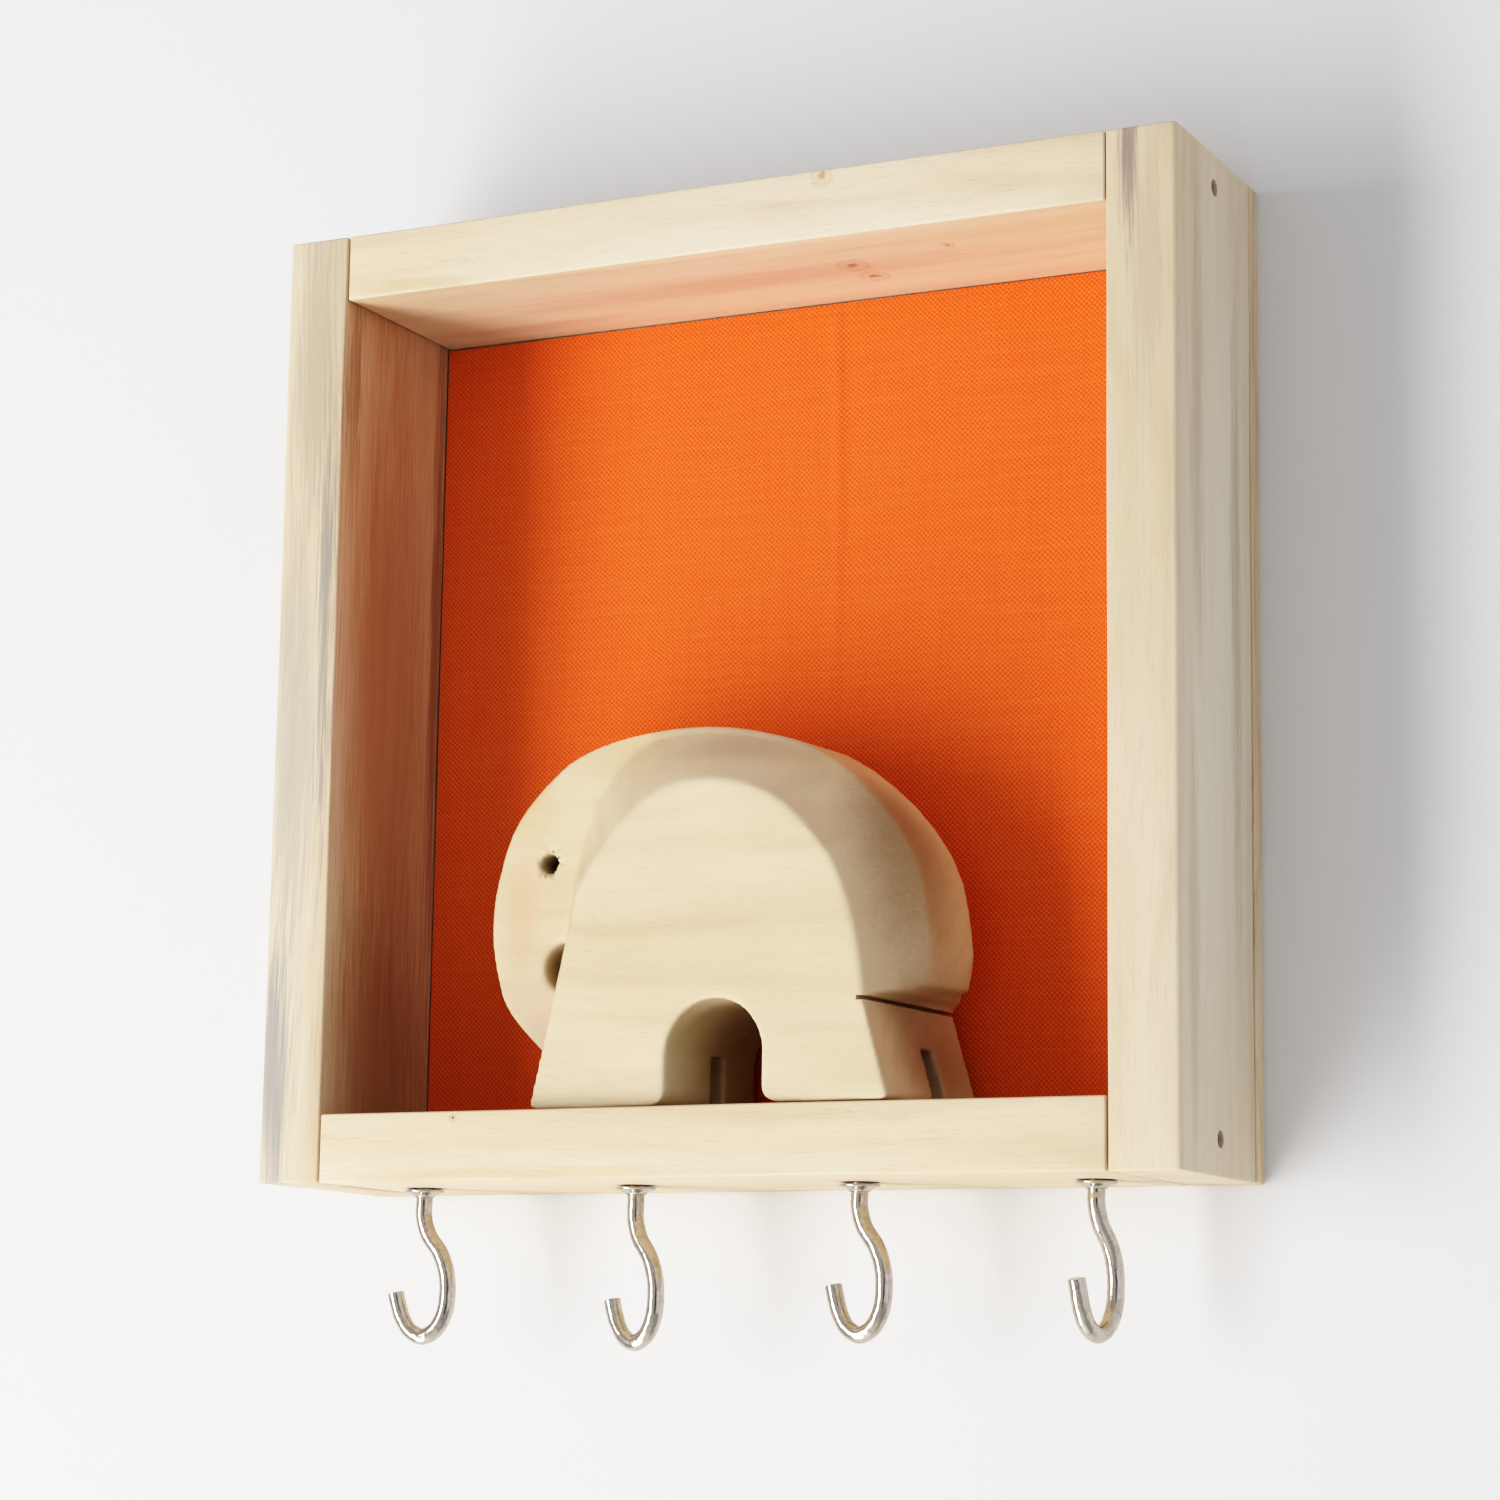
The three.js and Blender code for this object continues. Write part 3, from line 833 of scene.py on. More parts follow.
@dataclass(frozen=True)
class Nail:
    """A brad or a tack, and the hole it sits in.

    Attributes:
        name: Its name.
        node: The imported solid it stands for.
        surface: Where it goes in, on the wood's surface, in millimetres.
        towards: The way in.
        radius: Radius of its shank.
        head: Radius of its head.
        head_depth: Thickness of its head.
        sink: How deep its head lies below the surface.
        length: Its whole length.
        gap: Room all round it in its hole.
    """

    name: str
    node: str
    surface: Point
    towards: Point
    radius: float = 0.9
    head: float = 1.4
    head_depth: float = 0.8
    sink: float = 0.8
    length: float = 18.7
    gap: float = 0.15

    def hole(self) -> bpy.types.Object:
        """Makes what cuts its hole."""
        floor = self.sink + self.head_depth + self.gap
        wide, thin = self.head + self.gap, self.radius + self.gap
        end = self.sink + self.length + 0.3
        profile = [(0, -1), (wide, -1), (wide, floor), (thin, floor), (thin, end), (0, end)]
        return Bench.aim(Bench.turned("hole", profile, NAIL_SIDES), self.surface, self.towards)

    def pattern(self) -> bpy.types.Object:
        """Turns a nail of this size at the origin, with a slightly domed and dented head."""
        r, h, d = self.radius, self.head, self.head_depth
        profile = [
            (0, 0.05), (h * 0.45, 0.04), (h * 0.8, 0.03), (h * 0.95, 0.12), (h, d * 0.35),
            (h, d * 0.65), (h * 0.92, d * 0.9), (r * 1.1, d), (r, d + 0.25),
            (r, self.length - 2.4 * r), (r * 0.6, self.length - 1.1 * r), (0, self.length),
        ]
        return Bench.turned("nail_pattern", profile, NAIL_SIDES)

    @staticmethod
    def drive(nails: "Sequence[Nail]", finish: bpy.types.Material) -> None:
        """Drives nails of one size: one is turned and the rest are copied from it.

        Args:
            nails: The nails.
            finish: Their material.
        """
        pattern = nails[0].pattern()
        for nail in nails:
            piece = Bench.copy(pattern, nail.name)
            at = [s + t * nail.sink for s, t in zip(nail.surface, nail.towards)]
            Bench.smooth(Bench.aim(piece, at, nail.towards))
            Bench.deliver(piece, BODY_FRAME, [nail.node], "nail_steel", finish)
        bpy.data.meshes.remove(pattern.data)


# ---------------------------------------------------------------- the box


@dataclass
class ShadowBox:
    """The boards, the back and their nails.

    Attributes:
        width: Across the box.
        height: Up the box.
        board_depth: From the front of the boards to their back edges.
        side: Thickness of a side board.
        rail: Thickness of a rail.
        back: Thickness of the back board.
        gap: Room between two pieces that touch.
        arris: Rounding of the boards' edges.
        corner: Rounding of the box's outer upright edges.
        slice_lengths: Least lengths of a board's slices: along it, in depth and across it.
        wave: Length of a wave of the boards' unevenness.
        uneven: How far it moves a point.
        brad_in: How far behind the boards' fronts the brads go in.
        tack_up: How far above and below the middle the tacks of a side board go in.
        tack_out: How far out from the middle the tacks of a rail go in.
        hook_radius: Radius of a hook's pilot hole.
        hook_depth: Depth of a hook's pilot hole.
        shade_angle: The least angle that shows as an edge, in degrees.
    """

    width: float = 180.0
    height: float = 180.0
    board_depth: float = 39.0
    side: float = 13.0
    rail: float = 12.6
    back: float = 4.0
    gap: float = 0.3
    arris: float = 0.4
    corner: float = 1.1
    slice_lengths: Point = (9.0, 6.5, 4.4)
    wave: float = 38.0
    uneven: float = 0.09
    brad_in: float = 19.5
    tack_up: float = 60.0
    tack_out: float = 45.0
    hook_radius: float = 1.55
    hook_depth: float = 10.8
    shade_angle: float = 35.0

    def __post_init__(self) -> None:
        """Works out the places that the sizes give."""
        self.front = -self.back - self.board_depth
        self.behind = -self.back - self.gap
        self.half_rail = self.width / 2 - self.side
        self.rail_height = self.height / 2 - self.rail / 2

    def brads(self) -> Iterator[Nail]:
        """Gives the four brads through the side boards."""
        for hand, sign in (("left", -1), ("right", 1)):
            for end, level in (("top", 1), ("bottom", -1)):
                name = f"{end}_{hand}"
                out, up = sign * self.width / 2, level * self.rail_height
                surface = (out, self.front + self.brad_in, up)
                yield Nail(f"brad_{name}", f"frame_nail_{name}", surface, (-sign, 0, 0))

    def tacks(self) -> Iterator[Nail]:
        """Gives the eight tacks through the back board."""
        size = {"radius": 0.8, "head": 1.6, "head_depth": 0.7, "sink": 0.4, "length": 14.6}
        places = {
            "side": (self.width / 2 - self.side / 2, self.tack_up),
            "rail": (self.tack_out, self.rail_height),
        }
        for hand, sign in (("left", -1), ("right", 1)):
            for end, level in (("upper", 1), ("lower", -1)):
                for board, (out, up) in places.items():
                    name = f"{board}_{end}_{hand}"
                    surface = (sign * out, 0.0, level * up)
                    yield Nail(f"tack_{name}", f"back_nail_{name}", surface, (0, -1, 0), **size)

    def board(self, name: str, low: Point, high: Point, seed: float) -> bpy.types.Object:
        """Planes one board: a block, sliced so that it can be uneven, with sanded edges.

        Args:
            name: Its name.
            low: Its lowest corner.
            high: Its highest corner.
            seed: Which unevenness it has.

        Returns:
            The board.
        """
        piece = Bench.block(name, low, high)
        long = 2 if high[2] - low[2] > high[0] - low[0] else 0
        for axis, step in zip((long, 1, 2 - long), self.slice_lengths):
            count = max(1, round((high[axis] - low[axis]) / step))
            gaps = (high[axis] - low[axis]) / count
            Bench.slices(piece, axis, [low[axis] + gaps * i for i in range(1, count)])
        wide, tall = self.width / 2 - 0.1, self.height / 2 - 0.1
        Bench.soften(piece, self.corner, lambda m: abs(m.x) > wide and abs(m.z) < tall)
        Bench.soften(piece, self.arris)
        return Bench.move(piece, handmade(self.wave, self.uneven, seed))

    def drill(self, piece: bpy.types.Object) -> bpy.types.Object:
        """Cuts the holes of the nails that reach a board."""
        corners = np.array([v.co for v in piece.data.vertices]) / MM
        low, high = corners.min(0), corners.max(0)
        for nail in (*self.brads(), *self.tacks()):
            start = np.array(nail.surface)
            ends = (start, start + np.array(nail.towards) * nail.length)
            near, far = np.minimum(*ends) - Nail.radius, np.maximum(*ends) + Nail.radius
            if np.all(near < high) and np.all(far > low):
                Bench.cut(piece, nail.hole())
        return piece

    def build_sides(self) -> None:
        """Builds the two full-height side boards."""
        stains_and_painted_light = {
            "left": (
                StainAndPaintedLight((-79.4, -43, 22), (2.4, 9, 58), srgb(128, 128, 130), 0.62, 2.6),
                StainAndPaintedLight((-83, -43, 64), (7, 9, 44), srgb(178, 164, 144), 0.6, 1.8),
                StainAndPaintedLight((-85, -43, -10), (8, 9, 66), srgb(178, 172, 164), 0.55, 2.4),
                StainAndPaintedLight((-87.5, -43, -70), (5.5, 14, 36), srgb(160, 158, 154), 0.8, 1.8),
                # Painted shade with painted orange reflection from the canvas: the next two darken
                # and redden the inner face, more so low down.
                StainAndPaintedLight((-77, -24, 4), (5, 24, 118), srgb(160, 104, 68), 0.65, 0.8),
                StainAndPaintedLight((-77, -24, -66), (5, 26, 46), srgb(140, 88, 56), 0.55, 0.7),
                StainAndPaintedLight((-77, -39, 62), (4, 4, 30), srgb(150, 108, 80), 0.5, 2.4),
                # Painted shade in the corner where the inner face meets the canvas.
                StainAndPaintedLight((-77, -6.5, 20), (4, 3.2, 90), srgb(140, 96, 70), 0.65),
            ),
            "right": (
                StainAndPaintedLight((81.2, -43, 86), (2.2, 9, 19), srgb(150, 134, 128), 0.8, 2.6),
                StainAndPaintedLight((84.5, -43, 62), (4.0, 9, 34), srgb(190, 174, 154), 0.5, 3.0),
                # Painted light: lightens and greys the whole outer face, which lies in shade.
                StainAndPaintedLight((90, -24, 0), (3, 30, 130), srgb(232, 226, 214), 0.6, 0.5),
                StainAndPaintedLight((90, -33, 40), (3, 4.5, 60), srgb(186, 166, 138), 0.5, 2.6),
                StainAndPaintedLight((90, -13, 10), (3, 3.6, 85), srgb(176, 156, 130), 0.5, 2.6),
                StainAndPaintedLight((90, -36, -50), (3, 4.0, 50), srgb(190, 172, 146), 0.45, 2.6),
            ),
        }
        for hand, sign in (("left", -1), ("right", 1)):
            outer, inner = sign * self.width / 2, sign * self.half_rail
            low = (min(outer, inner), self.front, -self.height / 2)
            high = (max(outer, inner), self.behind, self.height / 2)
            piece = self.drill(self.board(f"{hand}_board", low, high, 2.0 + sign))
            wood = BareWood(
                f"{hand}_board_wood",
                Grain.UPRIGHT,
                pale=srgb(224, 210, 187),
                warm=srgb(211, 191, 160),
                pith=(sign * 40.0, -120.0),
                ring=5.5,
                ring_show=0.22,
                shift=310.0 * sign,
                stains_and_painted_light=stains_and_painted_light[hand],
            )
            Bench.smooth(piece, self.shade_angle)
            Bench.deliver(piece, BODY_FRAME, [f"{hand}_side"], "board_wood", wood.build())

    def build_rails(self, hook_places: Sequence[Point]) -> None:
        """Builds the two rails between the sides, the lower one drilled for the hooks.

        Args:
            hook_places: Where each hook goes up into the lower rail.
        """
        looks = {
            "top": BareWood(
                "top_rail_wood", Grain.LEVEL, pale=srgb(231, 218, 195), warm=srgb(221, 202, 171),
                pith=(20.0, -150.0), ring=6.0, ring_show=0.22, shift=35.0,
                stains_and_painted_light=(
                    # Painted shade with painted orange reflection from the canvas: the next two
                    # darken and pinken the underside, more so at the back.
                    StainAndPaintedLight((0, -24, 77.4), (80, 8, 3), srgb(214, 172, 152), 0.5),
                    StainAndPaintedLight((-50, -12, 77.4), (34, 4, 3), srgb(210, 166, 136), 0.35),
                    StainAndPaintedLight((-62, -43, 79), (16, 4, 1.6), srgb(214, 188, 150), 0.5),
                ),
                knots=(
                    Knot((22.7, -43, 89), 1.3, srgb(196, 156, 118)),
                    Knot((20.7, -24.9, 77.4), 1.9, srgb(172, 122, 84)),
                    Knot((21.8, -17.5, 77.4), 1.7, srgb(172, 122, 84)),
                    Knot((41.6, -29.8, 77.4), 0.8, srgb(176, 118, 84)),
                ),
            ),
            "bottom": BareWood(
                "bottom_rail_wood", Grain.LEVEL, pale=srgb(228, 212, 187),
                warm=srgb(218, 198, 166), pith=(-160.0, -90.0), ring=7.0, ring_show=0.2,
                shift=-240.0,
                stains_and_painted_light=(StainAndPaintedLight((-30, -43, -89), (60, 4, 2), srgb(210, 186, 150), 0.35),),
                knots=(Knot((-48.6, -43, -78.7), 0.45, srgb(120, 92, 70)),),
            ),
        }
        for end, level in (("top", 1), ("bottom", -1)):
            outer, inner = level * self.height / 2, level * (self.height / 2 - self.rail)
            low = (-self.half_rail + self.gap, self.front, min(outer, inner))
            high = (self.half_rail - self.gap, self.behind, max(outer, inner))
            piece = self.drill(self.board(f"{end}_board", low, high, 5.0 + level))
            for place in hook_places if level < 0 else ():
                tool = Bench.turned("hole", self.pilot(), 24)
                Bench.cut(piece, Bench.aim(tool, place, (0, 0, 1)))
            Bench.smooth(piece, self.shade_angle)
            Bench.deliver(piece, BODY_FRAME, [f"{end}_rail"], "board_wood", looks[end].build())

    def pilot(self) -> list[Point]:
        """Gives the profile of a hook's pilot hole."""
        wide, deep = self.hook_radius, self.hook_depth
        return [(0, -1), (wide, -1), (wide, deep), (0, deep)]

    def build_back(self, pocket: tuple[Point, Point]) -> None:
        """Builds the back board with its pocket for the hanger.

        Args:
            pocket: Lowest and highest corner of the pocket.
        """
        low = (-self.width / 2, -self.back, -self.height / 2)
        high = (self.width / 2, 0.0, self.height / 2)
        piece = Bench.block("back_panel", low, high)
        Bench.soften(piece, self.arris, segments=3)
        Bench.cut(piece, Bench.block("pocket", *pocket))
        self.drill(piece)
        wood = BareWood(
            "back_panel_wood", Grain.UPRIGHT, pale=srgb(226, 208, 180), warm=srgb(212, 188, 156),
            late=srgb(150, 112, 74), pith=(30.0, -60.0), ring=3.4, ring_show=0.4, fibre_show=0.5,
            shift=90.0, stains_and_painted_light=(StainAndPaintedLight((30, 0, -20), (12, 6, 80), srgb(170, 136, 98), 0.5),),
        )
        Bench.smooth(piece, self.shade_angle)
        Bench.modify(piece, "WEIGHTED_NORMAL", keep_sharp=True)
        Bench.deliver(piece, BODY_FRAME, ["back_board"], "back_wood", wood.build())

    def build_nails(self) -> None:
        """Drives the nails."""
        steel = Metal(
            "nail_steel", srgb(120, 112, 104), srgb(84, 66, 52), rough=0.45, wear=0.9, grit=0.4,
            relief=0.02,
        )
        finish = steel.build()
        for nails in (list(self.brads()), list(self.tacks())):
            Nail.drive(nails, finish)


# ---------------------------------------------------------------- the canvas


@dataclass
class CanvasGround:
    """The sheet of canvas stretched over the back of the box.

    Attributes:
        width: Across the cut sheet.
        height: Up the cut sheet.
        thickness: Its thickness.
        surface: Where its front lies, in y.
        crease: Where the old fold runs, in x.
        crease_end: Where the fold fades out, in z.
        crease_height: How far the fold stands off.
        dip: How far the sheet dips beside the fold.
        slack: How far the loose parts stand off.
        hem: How far in from its edges the sheet is held flat.
        steps: Faces across the sheet.
    """

    width: float = 153.4
    height: float = 154.2
    thickness: float = 0.4
    surface: float = -4.8
    crease: float = 8.4
    crease_end: float = 0.0
    crease_height: float = 0.28
    dip: float = 0.12
    slack: float = 0.07
    hem: float = 3.0
    steps: int = 180

    def build(self) -> None:
        """Builds the sheet: a grid stood upright, puckered, then given its thickness."""
        Bench.clear()
        bpy.ops.mesh.primitive_grid_add(
            x_subdivisions=self.steps, y_subdivisions=self.steps, size=1,
            location=(0, self.surface * MM, 0), rotation=(math.pi / 2, 0, 0),
        )
        sheet = Bench.name(bpy.context.object, "canvas_sheet")
        sheet.scale = (self.width * MM, self.height * MM, 1)
        Bench.settle(sheet)
        Bench.move(sheet, self.pucker)
        Bench.modify(sheet, "SOLIDIFY", thickness=self.thickness * MM, offset=-1)
        Bench.clean(sheet)
        Bench.smooth(sheet)
        weave = CanvasWeave("orange_canvas_weave").build()
        Bench.deliver(sheet, BODY_FRAME, ["orange_canvas"], "canvas", weave)

    def pucker(self, points: np.ndarray) -> np.ndarray:
        """Moves the sheet's points off the flat: an old fold, and slack near the edges.

        Args:
            points: The points, in millimetres.

        Returns:
            The moved points.
        """
        x, y, z = points.T
        line = self.crease + 0.6 * np.sin(z / 23.0)
        fade = 1 / (1 + np.exp(-(z - self.crease_end) / 9.0))
        ridge = self.crease_height * np.exp(-(((x - line) / 0.9) ** 2))
        ridge = ridge - self.dip * np.exp(-(((x - line - 2.4) / 1.6) ** 2))
        slack = self.slack * np.sin(x / 9.0 + 0.6 * np.sin(z / 17.0)) * np.sin(z / 13.0 + 1.0)
        hold = np.minimum(self.width / 2 - abs(x), self.height / 2 - abs(z)) / self.hem
        lift = (ridge * fade + slack) * np.clip(hold, 0, 1)
        return np.stack([x, y - lift, z], 1)


# ---------------------------------------------------------------- the elephant


@dataclass
class CarvedElephant:
    """The elephant, one block sawn, drilled and sanded by hand.

    Attributes:
        place: Where its own origin lies.
        turn: How far it is turned about the vertical, in degrees.
        grid: How fine its surface is.
        sanding: How many passes round its edges over.
        easing: How many more passes blend its near shoulder.
        eye: Where the eye is drilled, along it and up.
        eye_shift: How far along the drill wandered.
        back_top: The top of the back, along it and up.
        back_fall: How fast the back falls away on both sides of its top.
        lip_rise: How far the rump's lower lip slopes up to its outer edge.
        lip_tuck: How far its outer corner is rounded in.
        wave: Length of a wave of its unevenness.
        uneven: How far that moves a point.
        saw_line: Height that parts the rump from the hind leg.
        kerf_box: Lowest and highest corner of the saw cut under the rump.
        chip: How deep the rim of the eye is chipped.
        foot_corners: Rounded corners of the feet: where along it, which way the foot lies, radius.
    """

    place: Point = (2.0, -41.2, -77.1)
    turn: float = -2.5
    grid: float = 0.5
    sanding: int = 3
    easing: int = 40
    eye: Point = (-40.3, 46.2)
    eye_shift: float = -0.8
    back_top: Point = (-12.0, 69.6)
    back_fall: float = 0.0074
    lip_rise: float = 2.4
    lip_tuck: float = 1.7
    wave: float = 11.0
    uneven: float = 0.1
    saw_line: float = 17.5
    kerf_box: tuple[Point, Point] = ((28.7, -3.0, 17.2), (50.0, 40.0, 18.0))
    chip: float = 0.2
    foot_corners: Sequence[tuple[float, int, float]] = (
        (10.3, 1, 3.2), (-9.1, -1, 3.0), (35.0, -1, 1.6), (-37.0, 1, 1.8),
    )

    def own(self, points: np.ndarray) -> np.ndarray:
        """Gives points in the elephant's own frame: x along it, y from front to back, z up."""
        angle = math.radians(self.turn)
        x, y, z = (points - np.array(self.place)).T
        c, s = math.cos(angle), math.sin(angle)
        return np.stack([c * x + s * y, c * y - s * x, z], 1)

    def build(self) -> None:
        """Builds the elephant from its solid: sanded edges, a blended shoulder, an uneven skin."""
        piece = Bench.solid_of("elephant", "carved_elephant")
        Bench.modify(piece, "REMESH", mode="VOXEL", voxel_size=self.grid * MM)
        Bench.move(piece, self.pare)
        Bench.modify(piece, "SMOOTH", factor=0.5, iterations=self.sanding)
        soft = self.mark(piece, "shoulder", self.shoulder)
        Bench.modify(piece, "SMOOTH", factor=0.5, iterations=self.easing, vertex_group=soft)
        Bench.move(piece, self.round_back)
        Bench.modify(piece, "SMOOTH", factor=0.5, iterations=2)
        Bench.move(piece, handmade(self.wave, self.uneven, 1.7))
        Bench.move(piece, self.chip_eye)
        piece.vertex_groups.clear()
        Bench.cut(piece, self.kerf())
        Bench.smooth(piece, 60)
        Bench.deliver(piece, BODY_FRAME, ["elephant"], "carved_wood", self.wood())

    def placed(self, points: np.ndarray) -> np.ndarray:
        """Gives points of the elephant's own frame where they stand in the box."""
        angle = math.radians(self.turn)
        x, y, z = points.T
        c, s = math.cos(angle), math.sin(angle)
        return np.stack([c * x - s * y, s * x + c * y, z], 1) + np.array(self.place)

    def pare(self, points: np.ndarray) -> np.ndarray:
        """Pares the block by hand: rounds the corners of the feet and slopes the rump's lower lip.

        Args:
            points: The points, in millimetres.

        Returns:
            The moved points.
        """
        own = self.own(points)
        x, y, z = own.T
        for edge, way, radius in self.foot_corners:
            out, up = (x - edge) * way, z
            dx, dz = out - radius, up - radius
            far = np.hypot(dx, dz)
            corner = (dx < 0) & (dz < 0) & (far > radius) & (out > -1.0)
            pull = np.where(corner, radius / np.maximum(far, 1e-6), 1.0)
            x = np.where(corner, edge + way * (radius + dx * pull), x)
            z = np.where(corner, radius + dz * pull, z)
        share = np.clip((x - 30.0) / 8.0, 0, 1) * np.clip((24.0 - z) / 6.0, 0, 1)
        z = z + np.where(z > self.saw_line, self.lip_rise * share, 0.0)
        tuck = np.clip((27.0 - z) / 7.0, 0, 1) ** 2 * np.clip((x - 34.0) / 3.0, 0, 1)
        x = x - np.where(z > self.saw_line, self.lip_tuck * tuck, 0.0)
        return self.placed(np.stack([x, y, z], 1))

    def back_height(self, x: np.ndarray) -> np.ndarray:
        """Gives the height of the sanded back, from the forehead to behind the shoulder."""
        return self.back_top[1] - self.back_fall * (x - self.back_top[0]) ** 2

    def round_back(self, points: np.ndarray) -> np.ndarray:
        """Sands head and back into one even curve.

        Args:
            points: The points, in millimetres.

        Returns:
            The moved points.
        """
        x, y, z = self.own(points).T
        short = self.back_height(x) - z
        share = np.clip((1.4 - abs(short)) / 0.3, 0, 1)
        along = np.clip((x + 36) / 5, 0, 1) * np.clip((15 - x) / 8, 0, 1)
        share = share * along * np.clip((y - 9.8) / 1.4, 0, 1)
        return points + np.stack([0 * x, 0 * y, short * share], 1)

    def chip_eye(self, points: np.ndarray) -> np.ndarray:
        """Chips the rim of the eye, as a drill breaks it out."""
        x, y, z = self.own(points).T
        off = np.hypot(x - self.eye[0], z - self.eye[1])
        angle = np.arctan2(z - self.eye[1], x - self.eye[0])
        rim = np.exp(-(((off - 2.3) / 0.6) ** 2)) * (y < 13.5)
        ragged = np.sin(5 * angle + 0.6) + np.sin(11 * angle + 2.0) + np.sin(17 * angle)
        aside = self.eye_shift * np.exp(-((off / 4.0) ** 4))
        return points + np.stack([aside, rim * (self.chip * ragged + 0.08), 0 * y], 1)

    def kerf(self) -> bpy.types.Object:
        """Makes what cuts the saw line under the rump."""
        return Bench.move(Bench.block("kerf", *self.kerf_box), self.placed)

    def mark(self, piece: bpy.types.Object, name: str, weigh: Shift) -> str:
        """Marks how strongly a pass works at each point.

        Args:
            piece: The piece.
            name: The mark's name.
            weigh: Gives 0 to 1 for points in the elephant's own frame.

        Returns:
            The mark's name.
        """
        points = np.array([v.co for v in piece.data.vertices]) / MM
        group = piece.vertex_groups.new(name=name)
        for index, weight in enumerate(weigh(self.own(points)).tolist()):
            if weight > 0.01:
                group.add([index], weight, "REPLACE")
        return name

    def shoulder(self, points: np.ndarray) -> np.ndarray:
        """Gives where the near shoulder is blended, and the rump's corner rounded."""
        x, y, z = points.T
        left = 1 / (1 + np.exp((x + 2) / 4.0))
        high = 1 / (1 + np.exp(-(z - 30) / 3.0))
        near = 1 / (1 + np.exp((y - 12.6) / 0.5))
        inside = np.clip((self.back_height(x) - z - 0.4) / 3.0, 0, 1)
        clear = np.clip((np.hypot(x - self.eye[0], z - self.eye[1]) - 3.2) / 1.5, 0, 1)
        rump = 1 / (1 + np.exp(-(x - 34.5) / 0.8)) * (z > 17.6) / (1 + np.exp((z - 26) / 1.2))
        return np.minimum(left * high * near * inside * clear + rump, 1.0)

    @staticmethod
    def wood() -> bpy.types.Material:
        """Gives its wood, with the staining and pin knots of its own block, and painted shade on
        its shaded side, under its belly and inside its drilled holes.
        """
        return BareWood(
            "carved_wood", Grain.LEVEL, pale=srgb(222, 207, 180), warm=srgb(211, 192, 158),
            late=srgb(186, 156, 118), pith=(-140.0, 60.0), ring=5.2, ring_show=0.2,
            fibre_show=0.22, pore_show=0.05, shift=130.0,
            stains_and_painted_light=(
                # Painted shade: the next four darken the top and right bevels, the hind leg and the
                # arch between the legs.
                StainAndPaintedLight((4, -33, -13), (22, 6, 5), srgb(168, 140, 122), 0.25, 0.5),
                StainAndPaintedLight((32, -29, -38), (15, 14, 40), srgb(148, 116, 90), 0.75, 0.35),
                StainAndPaintedLight((38, -22, -68), (10, 18, 14), srgb(150, 112, 88), 0.65, 0.4),
                StainAndPaintedLight((2.6, -19, -68), (13, 20, 14), srgb(140, 104, 78), 0.6, 0.4),
                StainAndPaintedLight((-44, -28, -40), (5, 6, 16), srgb(216, 180, 146), 0.5, 0.5),
                StainAndPaintedLight((-43, -28, -20), (9, 6, 12), srgb(214, 190, 148), 0.6, 0.5),
                StainAndPaintedLight((-20, -29, -11), (22, 6, 7), srgb(206, 182, 140), 0.5, 0.5),
                # Painted shade inside the hole low on the head and inside the drilled eye.
                StainAndPaintedLight((-35, -21, -50), (6, 10, 6), srgb(120, 86, 60), 0.85, 0.1),
                StainAndPaintedLight((-39.1, -21, -30.9), (3, 10, 3), srgb(96, 68, 46), 0.85, 0.1),
                StainAndPaintedLight((-38, -28, -60), (7, 6, 7), srgb(224, 192, 178), 0.4, 0.4),
            ),
            knots=(
                Knot((-21, -33, -13.6), 0.55, srgb(150, 120, 84)),
                Knot((-22.5, -41.2, -43), 0.6, srgb(190, 150, 110)),
            ),
        ).build()


# ---------------------------------------------------------------- the hooks


